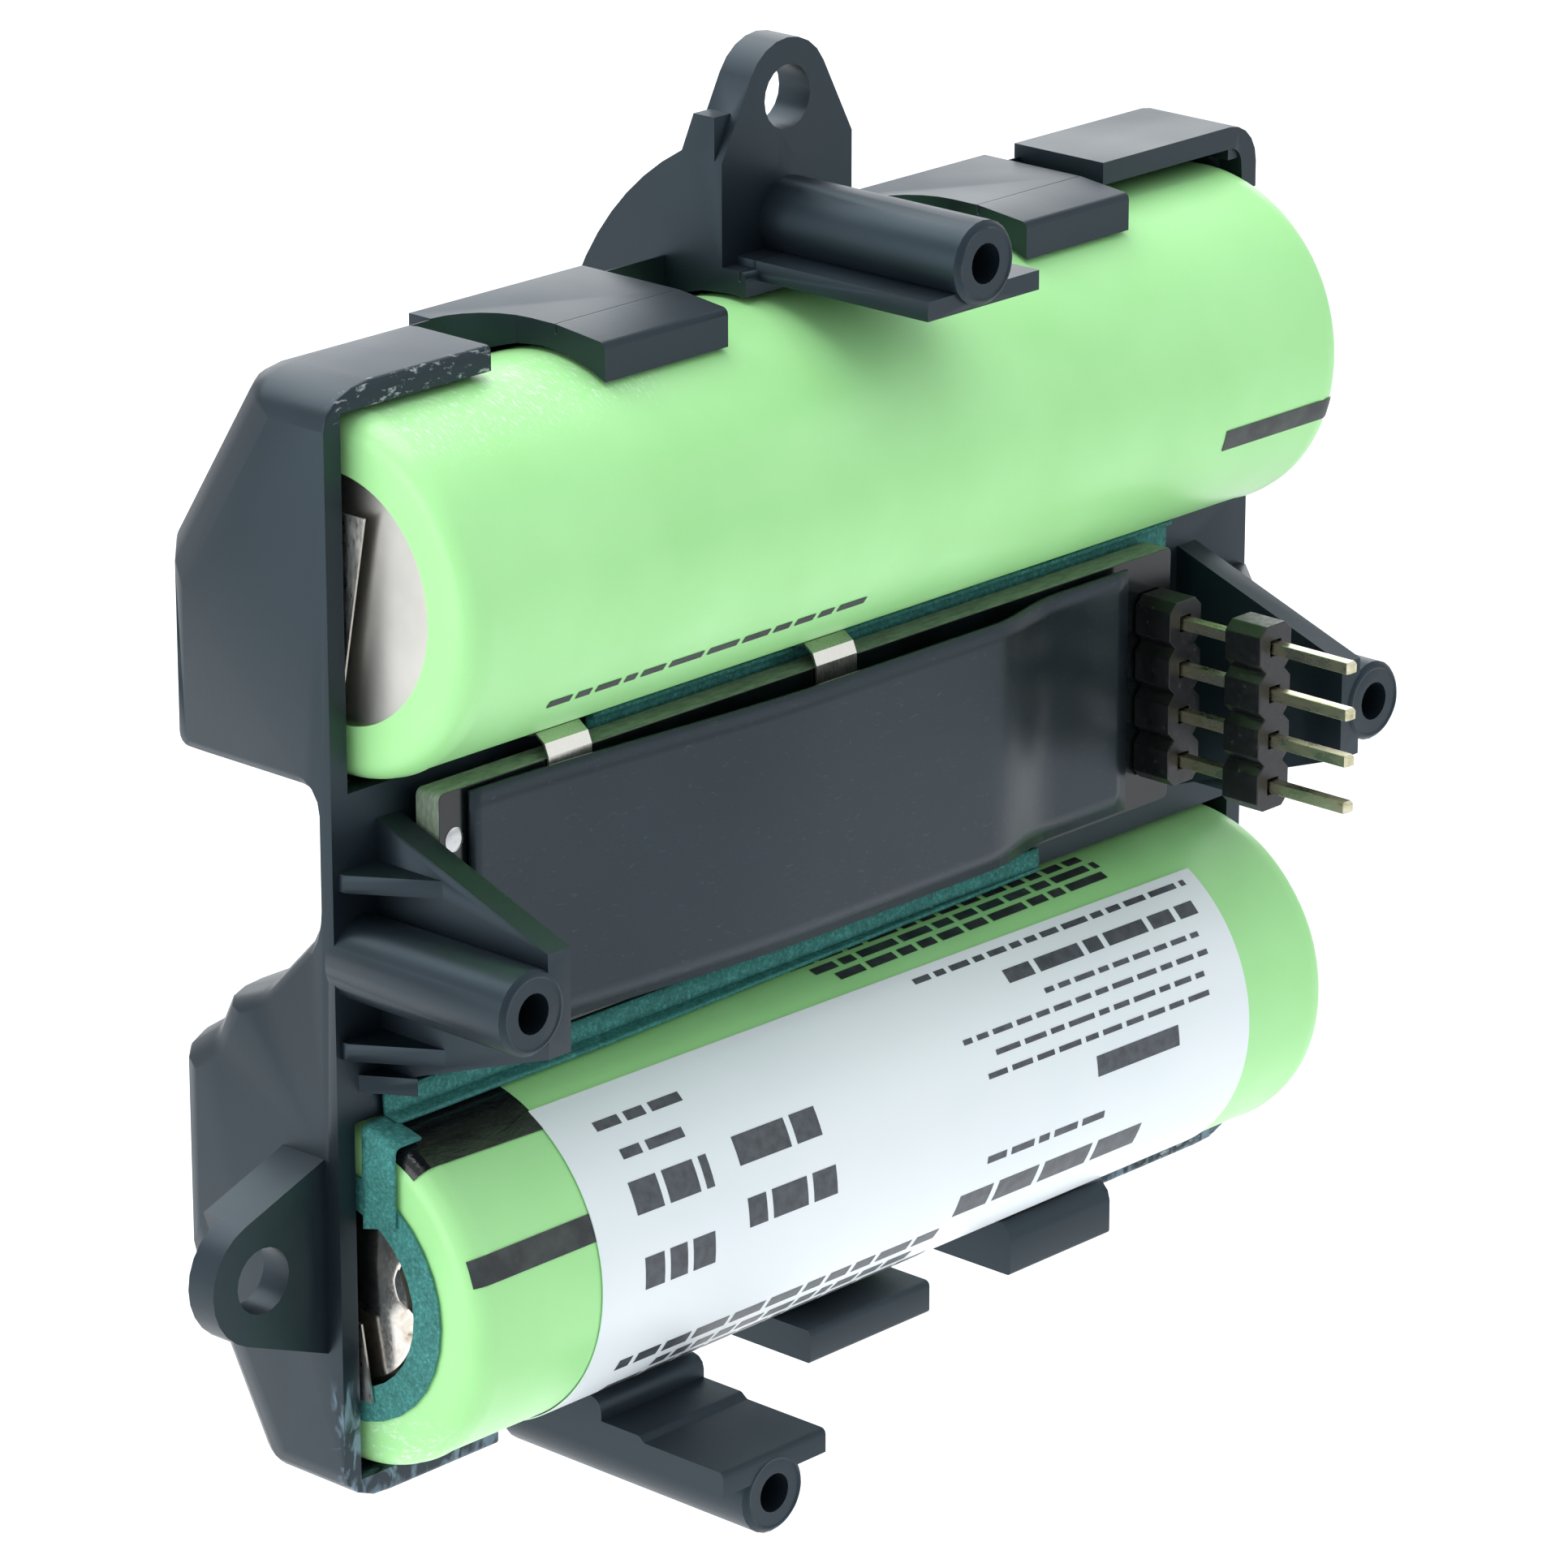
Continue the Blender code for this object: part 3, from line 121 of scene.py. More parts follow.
# Each soft box's place and size in metres, and its power in watts
for name, spot, size, power in (
    ("overhead", (0.0, 0.35, 0.75), (0.9, 0.9), 7.0),
    ("front_right", (0.5, -0.65, 0.3), (0.4, 0.5), 0.4),
    ("left", (-0.85, 0.25, 0.15), (0.5, 0.7), 2.2),
    ("rear", (0.95, 0.9, 0.48), (1.4, 0.7), 6.0),
):
    light = bpy.data.lights.new(name, "AREA")
    light.shape = "RECTANGLE"
    light.size = size[0]
    light.size_y = size[1]
    light.energy = power
    soft_box = bpy.data.objects.new(name, light)
    bpy.context.scene.collection.objects.link(soft_box)
    soft_box.location = spot
    soft_box.rotation_euler = (AIM - Vector(spot)).to_track_quat("-Z", "Y").to_euler()

# The cradle. One ABS moulding from a textured steel tool. Its edges are a little round, its rims are scuffed
# white and smeared with clear glue, and its clips were once bent until a fine crack ran across their tops.
# The places below are (low corner, high corner) in mm.
ABS_GRAIN = 0.35 * MM  # coarser than the tool's real texture, which wouldn't show
ABS_MOTTLE = 9 * MM
ABS_EDGE = 0.12 * MM
SCUFF_LENGTH = 0.3 * MM
GLUE_BLOB = 1.6 * MM
SCUFFED_TAB = ((-33.5, 11.0, 26.9), (-22.8, 11.8, 28.8))
GLUED_RIM = ((-34.5, 10.9, -29.5), (-22.0, 12.2, -22.0))
WORN_RIM = ((18.0, 10.9, -29.5), (34.5, 12.2, -26.5))
CRACK = ((-18.4, 11.84, 28.0), (20.7, 11.96, 29.0))
BLACK = (0.0, 0.0, 0.0, 1.0)
WHITE = (1.0, 1.0, 1.0, 1.0)


def near_box(tree, place, box, edge):
    """1 inside a box on the object and 0 outside it, with a soft edge. The box and the edge are in mm."""
    along = add(tree, "SeparateXYZ", {0: place}).node.outputs
    inside = None
    for k in range(3):
        for bound, way in ((box[0][k], 1), (box[1][k], -1)):
            off = add(tree, "Math", {0: along[k], 1: bound * MM}, operation="SUBTRACT")
            slope = {0: off, 1: way / (edge * MM), 2: 0.5}
            part = add(tree, "Math", slope, operation="MULTIPLY_ADD", use_clamp=True)
            if inside:
                part = add(tree, "Math", {0: inside, 1: part}, operation="MULTIPLY")
            inside = part
    return inside


def worn(tree, colour, wear, pattern, share, places):
    """The colour, with another one showing by the share given where the pattern meets one of the places."""
    where = places[0]
    for other in places[1:]:
        where = add(tree, "Math", {0: where, 1: other}, operation="ADD", use_clamp=True)
    both = add(tree, "Math", {0: where, 1: pattern}, operation="MULTIPLY")
    part = add(tree, "Math", {0: both, 1: share}, operation="MULTIPLY")
    return add(tree, "Mix", {0: part, 6: colour, 7: linear(wear)}, out=2, data_type="RGBA")


# Black ABS: a deep cool grey with a soft sheen that grows towards low angles
black_abs, tree, place = new_material("moulded_black_abs")
texture = add(tree, "TexNoise", {"Vector": place, "Scale": 1 / ABS_GRAIN, "Detail": 4.0, "Roughness": 0.6})
mottle = add(tree, "TexNoise", {"Vector": place, "Scale": 1 / ABS_MOTTLE, "Detail": 2.0})
colour = add(tree, "ValToRGB", {0: mottle}, stops=((0.35, linear("#0F161B")), (0.65, linear("#151D24"))))
rim_worn = near_box(tree, place, WORN_RIM, 0.6)
drawn = add(tree, "Mapping", {"Vector": place, "Scale": (0.5, 1.0, 1.0)})
streak = add(tree, "TexNoise", {"Vector": drawn, "Scale": 1 / SCUFF_LENGTH, "Detail": 5.0, "Roughness": 0.7})
streak = add(tree, "ValToRGB", {0: streak}, stops=((0.56, BLACK), (0.66, WHITE)))
colour = worn(tree, colour, "#B9C0C2", streak, 0.75, (near_box(tree, place, SCUFFED_TAB, 0.3), rim_worn))
drawn = add(tree, "Mapping", {"Vector": place, "Scale": (1.0, 1.0, 0.5)})
smear = add(tree, "TexNoise", {
    "Vector": drawn, "Scale": 1 / GLUE_BLOB, "Detail": 3.0, "Roughness": 0.6, "Distortion": 1.2,
})
smear = add(tree, "ValToRGB", {0: smear}, stops=((0.46, BLACK), (0.60, WHITE)))
colour = worn(tree, colour, "#7F98A8", smear, 0.7, (near_box(tree, place, GLUED_RIM, 0.6), rim_worn))
cracked = near_box(tree, place, CRACK, 0.05)
broken = add(tree, "ValToRGB", {0: mottle}, stops=((0.30, BLACK), (0.45, WHITE)))
colour = worn(tree, colour, "#020304", broken, 0.9, (cracked,))
gloss = add(tree, "MapRange", {0: mottle, 1: 0.3, 2: 0.7, 3: 0.34, 4: 0.46})
relief = add(tree, "Bump", {"Strength": 0.25, "Distance": 0.02 * MM, "Height": texture})
relief = add(
    tree, "Bump", {"Strength": 0.8, "Distance": 0.08 * MM, "Height": cracked, "Normal": relief}, invert=True
)
shader = add(tree, "BsdfPrincipled", {
    "Base Color": colour, "Roughness": gloss, "Normal": relief, "IOR": 1.56,
    "Specular Tint": linear("#CBE8F8"),
})
add(tree, "OutputMaterial", {"Surface": shader})


def place_piece(name, mesh, finish, slot, *replaced):
    """Puts a piece on the pack, in the finish given, in place of the CAD nodes named."""
    made = bpy.data.objects.new(name, mesh)
    mesh.materials.clear()
    mesh.materials.append(finish)
    bpy.context.scene.collection.objects.link(made)
    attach(made, "root")
    if replaced:
        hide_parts(*replaced)
    return made


def refined(name, node, edge, finish, slot):
    """A CAD node's shape with its sharp edges made a little round."""
    sharp = math.radians(35)
    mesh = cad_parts[node].data.copy()
    mesh.name = name
    shape = bmesh.new()
    shape.from_mesh(mesh)
    bmesh.ops.remove_doubles(shape, verts=shape.verts, dist=0.002 * MM)
    bmesh.ops.dissolve_limit(shape, angle_limit=math.radians(0.6), verts=shape.verts, edges=shape.edges)
    for face in shape.faces:
        face.smooth = True
    shape.to_mesh(mesh)
    shape.free()
    mesh.set_sharp_from_angle(angle=sharp)
    made = place_piece(name, mesh, finish, slot, node)
    bevel = made.modifiers.new("round_edges", "BEVEL")
    bevel.width = edge
    bevel.segments = 2
    bevel.limit_method = "ANGLE"
    bevel.angle_limit = sharp
    bevel.harden_normals = True


refined("cradle_moulding", "cradle", ABS_EDGE, black_abs, "black_abs")

# The burrs at the boss ends. Each boss ends in a thin raised ring of the same ABS, left where its core pin
# closed against the tool.
BOSS_PLACES = ((-32.2, 0.0), (31.0, 0.0), (-0.45, 30.15), (-15.6, -30.2))
BURR_FOOT = 0.03 * MM  # how far it stands in the boss
BURR_RADII = (1.72 * MM, 1.80 * MM, 1.90 * MM, 2.00 * MM)
BURR_TALL = (0.05 * MM, 0.04 * MM)  # on average, and how far it wanders
BURR_TURNS = 48


def skin(name, rows, around=True, ends="filled", sharp=50):
    """A mesh over rows of points. Around closes each row on itself. The first and the last row are filled,
    joined or left open."""
    shape = bmesh.new()
    rows = [[shape.verts.new(point) for point in row] for row in rows]
    count = len(rows[0])
    followed = zip(rows, rows[1:] + rows[:1]) if ends == "joined" else zip(rows, rows[1:])
    for here, there in followed:
        for k in range(count if around else count - 1):
            after = (k + 1) % count
            shape.faces.new((here[k], here[after], there[after], there[k]))
    if ends == "filled":
        shape.faces.new(rows[0])
        shape.faces.new(rows[-1])
    bmesh.ops.recalc_face_normals(shape, faces=shape.faces)
    for face in shape.faces:
        face.smooth = True
    mesh = bpy.data.meshes.new(name)
    shape.to_mesh(mesh)
    shape.free()
    mesh.set_sharp_from_angle(angle=math.radians(sharp))
    return mesh


def joined(name, meshes):
    """One mesh that holds several."""
    shape = bmesh.new()
    for mesh in meshes:
        shape.from_mesh(mesh)
        bpy.data.meshes.remove(mesh)
    whole = bpy.data.meshes.new(name)
    shape.to_mesh(whole)
    shape.free()
    return whole


burrs = []
for x, z in BOSS_PLACES:
    rings = []
    for k in range(BURR_TURNS):
        turn = 2 * math.pi * k / BURR_TURNS
        wander = noise.noise(Vector((math.cos(turn) * 2, math.sin(turn) * 2, x)))
        tall = BURR_TALL[0] + BURR_TALL[1] * wander
        rings.append([
            Vector((x * MM + radius * math.cos(turn), y, z * MM + radius * math.sin(turn)))
            for radius, y in zip(BURR_RADII, (BURR_FOOT, -tall, -tall, BURR_FOOT))
        ])
    burrs.append(skin("burr", rings, ends="joined"))
place_piece("boss_end_burrs", joined("boss_end_burrs", burrs), black_abs, "black_abs")

# The two shrink sleeves. Light green PVC tube, shrunk by heat over each cell and turned in over its ends. It
# is thin and lets a little light through, with a raised seam ring where it bends in and small ripples.
SLEEVE_TURNS = 120
SLEEVE_BEND = 1.15 * MM
SLEEVE_HOLE = 6.3 * MM
SLEEVE_WALL = 0.14 * MM
SEAM_RING = 0.055 * MM  # how far it stands out
SEAM_FALL = (0.25 * MM, 0.6 * MM)  # from the bend to its crest and to its foot
RIPPLE_REACH = 7 * MM  # from each end
RIPPLE_SIZE = 6 * MM
RIPPLE_TALL = (0.012 * MM, 0.03 * MM)  # everywhere, and what the ends add to it
RIPPLES_ROUND = 2.2
SLEEVE_CLOUD = 7 * MM
SLEEVE_RIPPLE = 2.4 * MM
RUB_LENGTH = 0.28 * MM
RUBBED_TOP = ((-31.5, 7.6, 24.6), (-15.0, 13.0, 28.5))  # under the clips, in mm
RUBBED_LOW = ((-33.0, 5.0, -27.5), (-28.0, 12.0, -23.5))


def middle_and_half(node):
    """The middle of a node's box, and half its size."""
    low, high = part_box(node)
    return (low + high) / 2, (high - low) / 2


upper_middle, half = middle_and_half("upper_cell_sleeve")
lower_middle, half = middle_and_half("lower_cell_sleeve")
sleeve_end = half.x
cell_radius = half.z

# Shrunk PVC film: an even light green with a soft gloss, rubbed pale where it was handled
green_pvc, tree, place = new_material("shrunk_green_pvc_film")
cloud = add(tree, "TexNoise", {"Vector": place, "Scale": 1 / SLEEVE_CLOUD, "Detail": 2.0})
colour = add(tree, "ValToRGB", {0: cloud}, stops=((0.30, linear("#A7EA99")), (0.70, linear("#AFF1A3"))))
drawn = add(tree, "Mapping", {"Vector": place, "Scale": (2.2, 0.45, 1.0)})
rub = add(tree, "TexNoise", {"Vector": drawn, "Scale": 1 / RUB_LENGTH, "Detail": 5.0, "Roughness": 0.7})
rub = add(tree, "ValToRGB", {0: rub}, stops=((0.54, BLACK), (0.64, WHITE)))
rubbed = (near_box(tree, place, RUBBED_TOP, 2.0), near_box(tree, place, RUBBED_LOW, 2.0))
colour = worn(tree, colour, "#F0FFF2", rub, 0.65, rubbed)
drawn = add(tree, "Mapping", {"Vector": place, "Scale": (1.0, 0.4, 0.4)})
ripple = add(tree, "TexNoise", {"Vector": drawn, "Scale": 1 / SLEEVE_RIPPLE, "Detail": 2.0, "Roughness": 0.4})
relief = add(tree, "Bump", {"Strength": 0.25, "Distance": 0.03 * MM, "Height": ripple})
shader = add(tree, "BsdfPrincipled", {
    "Base Color": colour, "Normal": relief, "Roughness": 0.34, "IOR": 1.53,
    "Subsurface Weight": 0.12, "Subsurface Scale": 0.6 * MM,
})
add(tree, "OutputMaterial", {"Surface": shader})

bends = [math.radians(90 * k / 8) for k in range(9)]
bend_end = sleeve_end - SLEEVE_BEND
side = [
    (cell_radius - SLEEVE_BEND + SLEEVE_BEND * math.sin(t), bend_end + SLEEVE_BEND * math.cos(t))
    for t in bends
]
side += [(cell_radius + SEAM_RING, bend_end - SEAM_FALL[0]), (cell_radius, bend_end - SEAM_FALL[1])]
side += [(cell_radius, sleeve_end - step * MM) for step in (4.0, 8.0, 16.0)]
side += [(radius, -height) for radius, height in reversed(side)]
shorter = 1 - SLEEVE_WALL / sleeve_end
inside = [(radius - SLEEVE_WALL, height * shorter) for radius, height in reversed(side)]
profile = [(SLEEVE_HOLE, sleeve_end), *side, (SLEEVE_HOLE, -sleeve_end)]
profile += [(SLEEVE_HOLE, SLEEVE_WALL - sleeve_end), *inside, (SLEEVE_HOLE, sleeve_end - SLEEVE_WALL)]
for prefix, middle, facing in (("upper", upper_middle, 1), ("lower", lower_middle, -1)):
    rings = []
    for k in range(SLEEVE_TURNS):
        turn = 2 * math.pi * k / SLEEVE_TURNS
        ring = []
        for radius, height in profile:
            close = max(0.0, 1 - (sleeve_end - abs(height)) / RIPPLE_REACH)
            round_it = (math.cos(turn) * RIPPLES_ROUND, math.sin(turn) * RIPPLES_ROUND + facing * 3.0)
            bump = noise.noise(Vector((height / RIPPLE_SIZE, *round_it)))
            reach = radius + (RIPPLE_TALL[0] + RIPPLE_TALL[1] * close) * bump
            ring.append(middle + Vector((facing * height, -reach * math.sin(turn), reach * math.cos(turn))))
        rings.append(ring)
    mesh = skin(f"{prefix}_sleeve", rings, ends="joined")
    place_piece(f"{prefix}_sleeve", mesh, green_pvc, "sleeve", f"{prefix}_cell_sleeve")

# The printed bars. One short black bar near an end of each sleeve, printed on the film before it shrank, so
# it has no thickness to speak of and is a little greyer where the film is stretched.
PRINT_LIFT = 0.03 * MM
PRINT_THICK = 0.02 * MM
INK_WEAR = 1.2 * MM


def film(name, middle, angles, x_range, inner, thick, steps, moved=None, lift=None):
    """A film that follows a cell between two angles, in degrees from its top over its front. Moved shifts a
    point (x, angle) of it, and lift raises it. Steps are counted round the cell and along it."""
    rows = []
    for j in range(steps[1] + 1):
        top, low = [], []
        for k in range(steps[0] + 1):
            x = x_range[0] + (x_range[1] - x_range[0]) * j / steps[1]
            angle = angles[0] + (angles[1] - angles[0]) * k / steps[0]
            if moved:
                x, angle = moved(x, angle)
            turn = math.radians(angle)
            rise = lift(x, angle) if lift else 0.0
            for row, reach in ((top, inner + thick + rise), (low, inner + rise)):
                row.append(Vector((x, middle.y - reach * math.sin(turn), middle.z + reach * math.cos(turn))))
        rows.append(top + low[::-1])
    return skin(name, rows)


def over_shoulder(x, angle):
    """How far a film drops where it runs over a cell's rounded shoulder."""
    past = min(abs(x) - bend_end, SLEEVE_BEND * 0.98)
    return 0.0 if past <= 0 else math.sqrt(SLEEVE_BEND ** 2 - past ** 2) - SLEEVE_BEND


# Printing ink on stretched film: black, worn to dark grey in patches
black_print, tree, place = new_material("black_printing_ink")
wear = add(tree, "TexNoise", {"Vector": place, "Scale": 1 / INK_WEAR, "Detail": 3.0})
colour = add(tree, "ValToRGB", {0: wear}, stops=((0.35, linear("#23282A")), (0.75, linear("#3E4745"))))
shader = add(tree, "BsdfPrincipled", {"Base Color": colour, "Roughness": 0.45})
add(tree, "OutputMaterial", {"Surface": shader})

for name, middle, angles, x_range in (
    ("upper_print_bar", upper_middle, (103.0, 110.5), (23.1 * MM, 31.8 * MM)),
    ("lower_print_bar", lower_middle, (64.5, 73.5), (-32.1 * MM, -23.0 * MM)),
):
    bar = film(
        name, middle, angles, x_range, cell_radius + PRINT_LIFT, PRINT_THICK, (8, 30), lift=over_shoulder
    )
    place_piece(name, bar, black_print, "label_film")

# The label. A white polypropylene film, stuck round the front of the lower cell and a little askew. Its
# print is kept to plain grey bars and shapes, so it carries no words and no marks.
LABEL_ANGLES = (27.0, 172.0)
LABEL_LEAN = 4.0  # degrees by which the label's right end is turned further round
LABEL_THICK = 0.06 * MM
LABEL_TONE = 12 * MM
LABEL_PULP = 0.5 * MM
label_x = (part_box("label")[0].x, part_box("label")[1].x)
label_reach = cell_radius + LABEL_THICK

# Polypropylene label film: nearly pure white with a clear gloss
label_film, tree, place = new_material("white_polypropylene_label")
tone = add(tree, "TexNoise", {"Vector": place, "Scale": 1 / LABEL_TONE, "Detail": 2.0})
colour = add(tree, "ValToRGB", {0: tone}, stops=((0.3, linear("#E9F2F5")), (0.7, linear("#F1F8FA"))))
pulp = add(tree, "TexNoise", {"Vector": place, "Scale": 1 / LABEL_PULP, "Detail": 3.0})
relief = add(tree, "Bump", {"Strength": 0.06, "Distance": 0.01 * MM, "Height": pulp})
shader = add(tree, "BsdfPrincipled", {
    "Base Color": colour, "Normal": relief, "Roughness": 0.32, "IOR": 1.49,
})
add(tree, "OutputMaterial", {"Surface": shader})


def askew(x, angle):
    return x, angle + LABEL_LEAN * (x - label_x[0]) / (label_x[1] - label_x[0])


face = film("label_face", lower_middle, LABEL_ANGLES, label_x, label_reach, LABEL_THICK, (72, 30), askew)
place_piece("label_face", face, label_film, "label_film", "label")

# The print on the label and, in a few small lines, on the sleeves themselves, half hidden by the board and
# the label. Each row is (left, right, top angle, height in degrees, mean length of a bar), in mm.
LABEL_ROWS = (
    (-21.2, -15.2, 38.5, 3.4, 2.2), (-20.6, -15.6, 49.5, 3.4, 2.6),
    (3.2, 24.6, 30.5, 2.2, 1.5), (9.0, 24.2, 38.5, 5.0, 2.4),
    (11.0, 23.4, 49.0, 1.8, 1.2), (4.0, 23.4, 55.5, 1.8, 1.3), (6.0, 23.2, 62.0, 1.8, 1.4),
    (5.0, 23.2, 68.5, 1.8, 1.3), (13.2, 19.8, 76.0, 7.0, 6.6), (4.6, 14.0, 96.0, 2.6, 1.6),
    (-13.5, -7.5, 58.0, 9.5, 2.6), (-21.0, -15.5, 60.0, 10.5, 2.6), (-13.5, -7.0, 78.0, 9.5, 2.8),
    (-21.0, -16.0, 84.0, 10.5, 2.4), (3.0, 17.5, 108.0, 9.0, 4.5),
    (-21.5, 2.4, 121.0, 5.0, 1.8), (-18.0, 1.5, 130.0, 5.0, 1.8), (-20.5, 3.5, 139.0, 5.0, 1.8),
)
LOWER_SLEEVE_ROWS = [(-2.5 + k, 20.5 + 0.3 * k, 8.0 + 5.6 * k, 3.4, 2.1) for k in range(3)]
UPPER_SLEEVE_ROWS = [(-25.5, -3.0, 124.8, 3.0, 1.6)]
BAR_SPREAD = (0.45, 1.45)  # shares of the mean length
BAR_GAP = (0.35, 0.03)  # in mm, and what it gains for each mm of the mean length
SHORTEST_ROW = 0.3
INK_THICK = 0.012 * MM
INK_LIFT = 0.005 * MM  # over the label
INK_PATCH = 0.6 * MM
draw = random.Random(7)

# Grey ink on a smooth film: even, a shade off black
label_ink, tree, place = new_material("grey_label_ink")
patch = add(tree, "TexNoise", {"Vector": place, "Scale": 1 / INK_PATCH, "Detail": 2.0})
colour = add(tree, "ValToRGB", {0: patch}, stops=((0.3, linear("#3A3F45")), (0.7, linear("#50565D"))))
shader = add(tree, "BsdfPrincipled", {"Base Color": colour, "Roughness": 0.4})
add(tree, "OutputMaterial", {"Surface": shader})

for name, middle, rows, lift, moved, ink in (
    ("label_print", lower_middle, LABEL_ROWS, 2 * LABEL_THICK + INK_LIFT, askew, label_ink),
    ("lower_sleeve_print", lower_middle, LOWER_SLEEVE_ROWS, PRINT_LIFT, None, black_print),
    ("upper_sleeve_print", upper_middle, UPPER_SLEEVE_ROWS, PRINT_LIFT, None, black_print),
):
    bars = []
    for left, right, top, tall, mean in rows:
        x = left
        while x < right - SHORTEST_ROW:
            end = min(right, x + mean * draw.uniform(*BAR_SPREAD))
            angles = (top, top + tall)
            x_range = (x * MM, end * MM)
            bars.append(film(name, middle, angles, x_range, cell_radius + lift, INK_THICK, (3, 1), moved))
            x = end + BAR_GAP[0] + BAR_GAP[1] * mean
    place_piece(name, joined(name, bars), ink, "label_film")

# The black tape. A short piece of glossy PVC tape over the lower cell's shoulder, pulled into fine wrinkles
# that catch the light. It was torn off at a slant, so it is wider at its right.
TAPE_ANGLES = (7.0, 33.0)
TAPE_X = (-32.3 * MM, -23.9 * MM)
TAPE_THICK = 0.05 * MM
TAPE_SLANT = 1.5  # degrees
TAPE_RUMPLE = 0.03 * MM
TAPE_WRINKLE = 1.1 * MM
TAPE_SCRATCH = 0.35 * MM
tape_low, tape_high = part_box("black_tape")

# PVC tape: deep black and glossy, broken up by scratches
pvc_tape, tree, place = new_material("glossy_black_pvc_tape")
drawn = add(tree, "Mapping", {"Vector": place, "Scale": (0.5, 1.3, 1.0)})
wrinkle = add(tree, "TexNoise", {
    "Vector": drawn, "Scale": 1 / TAPE_WRINKLE, "Detail": 4.0, "Roughness": 0.6, "Distortion": 1.5,
})
drawn = add(tree, "Mapping", {"Vector": place, "Scale": (0.25, 1.6, 1.0)})
scratch = add(tree, "TexNoise", {"Vector": drawn, "Scale": 1 / TAPE_SCRATCH, "Detail": 4.0, "Roughness": 0.7})
gloss = add(tree, "MapRange", {0: scratch, 1: 0.4, 2: 0.7, 3: 0.12, 4: 0.4})
relief = add(tree, "Bump", {"Strength": 0.5, "Distance": 0.06 * MM, "Height": wrinkle})
shader = add(tree, "BsdfPrincipled", {
    "Base Color": linear("#121315"), "Roughness": gloss, "Normal": relief, "IOR": 1.53,
})
add(tree, "OutputMaterial", {"Surface": shader})


def torn(x, angle):
    """The tape's lower edge runs at a slant."""
    return x, angle + (TAPE_SLANT * (x - tape_low.x) / (tape_high.x - tape_low.x) if angle > 20 else 0.0)


def wrinkled(x, angle):
    rumple = noise.noise(Vector((x / (1.5 * MM), angle / 9.0, 0.0)))
    return over_shoulder(x, angle) + TAPE_RUMPLE * rumple


tape = film(
    "shoulder_tape", lower_middle, TAPE_ANGLES, TAPE_X, cell_radius + TAPE_THICK, TAPE_THICK, (24, 48), torn,
    wrinkled,
)
place_piece("shoulder_tape", tape, pvc_tape, "tape", "black_tape")

# The cell ends. Each can is deep-drawn steel, nickel-plated, and open at its positive end, where a pressed
# cap sits in a polymer gasket over the wound foils. The ends show through the sleeves' round holes.
PLATE_SPECK = 0.12 * MM
PLATE_CLOUD = 3 * MM
FOIL_LAYER = 0.3 * MM  # far coarser than the real foils, which wouldn't show
GASKET_TONE = 2 * MM
CAP_SPECK = 0.2 * MM
CAP_TINT = 1.4 * MM
CAP_LEVELS = ((4.9, 4.4, 0.95), (4.7, 3.5, 0.85), (4.55, 3.4, 0.50), (4.4, 3.3, 0.28), (4.1, 3.1, 0.22))
CAP_TURNS = 96
LEG_SHARE = 0.75  # how far round a leg reaches, from 0 for half of its third
LEG_TURN = 0.9  # radians
LEG_CRISP = 6.0


def dress(node, finish):
    """Gives a CAD node, whose shape is right as it is, its finish."""
    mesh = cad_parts[node].data
    mesh.materials.clear()
    mesh.materials.append(finish)


# Barrel-plated nickel on drawn steel: pale warm grey metal, satin, with soft clouds
plated_steel, tree, place = new_material("satin_nickel_plated_steel")
speck = add(tree, "TexNoise", {"Vector": place, "Scale": 1 / PLATE_SPECK, "Detail": 4.0, "Roughness": 0.7})
cloud = add(tree, "TexNoise", {"Vector": place, "Scale": 1 / PLATE_CLOUD, "Detail": 2.0})
colour = add(tree, "ValToRGB", {0: cloud}, stops=((0.3, linear("#C9C7C1")), (0.7, linear("#D6D4CE"))))
gloss = add(tree, "MapRange", {0: speck, 1: 0.3, 2: 0.7, 3: 0.30, 4: 0.42})
relief = add(tree, "Bump", {"Strength": 0.15, "Distance": 0.01 * MM, "Height": speck})
shader = add(tree, "BsdfPrincipled", {
    "Base Color": colour, "Roughness": gloss, "Normal": relief, "Metallic": 1.0,
})
add(tree, "OutputMaterial", {"Surface": shader})

# Wound copper and aluminium foils, coated: dark brown, hardly lit
electrode, tree, place = new_material("wound_electrode_foil")
layers = add(tree, "TexNoise", {"Vector": place, "Scale": 1 / FOIL_LAYER, "Detail": 2.0})
colour = add(tree, "ValToRGB", {0: layers}, stops=((0.3, linear("#3A302B")), (0.7, linear("#5A4A40"))))
shader = add(tree, "BsdfPrincipled", {"Base Color": colour, "Roughness": 0.5, "Metallic": 0.4})
add(tree, "OutputMaterial", {"Surface": shader})

# Moulded polypropylene gasket: milky grey and dull
seal, tree, place = new_material("moulded_polymer_gasket")
tone = add(tree, "TexNoise", {"Vector": place, "Scale": 1 / GASKET_TONE, "Detail": 2.0})
colour = add(tree, "ValToRGB", {0: tone}, stops=((0.3, linear("#CFCFC8")), (0.7, linear("#DEDED8"))))
shader = add(tree, "BsdfPrincipled", {"Base Color": colour, "Roughness": 0.5})
add(tree, "OutputMaterial", {"Surface": shader})

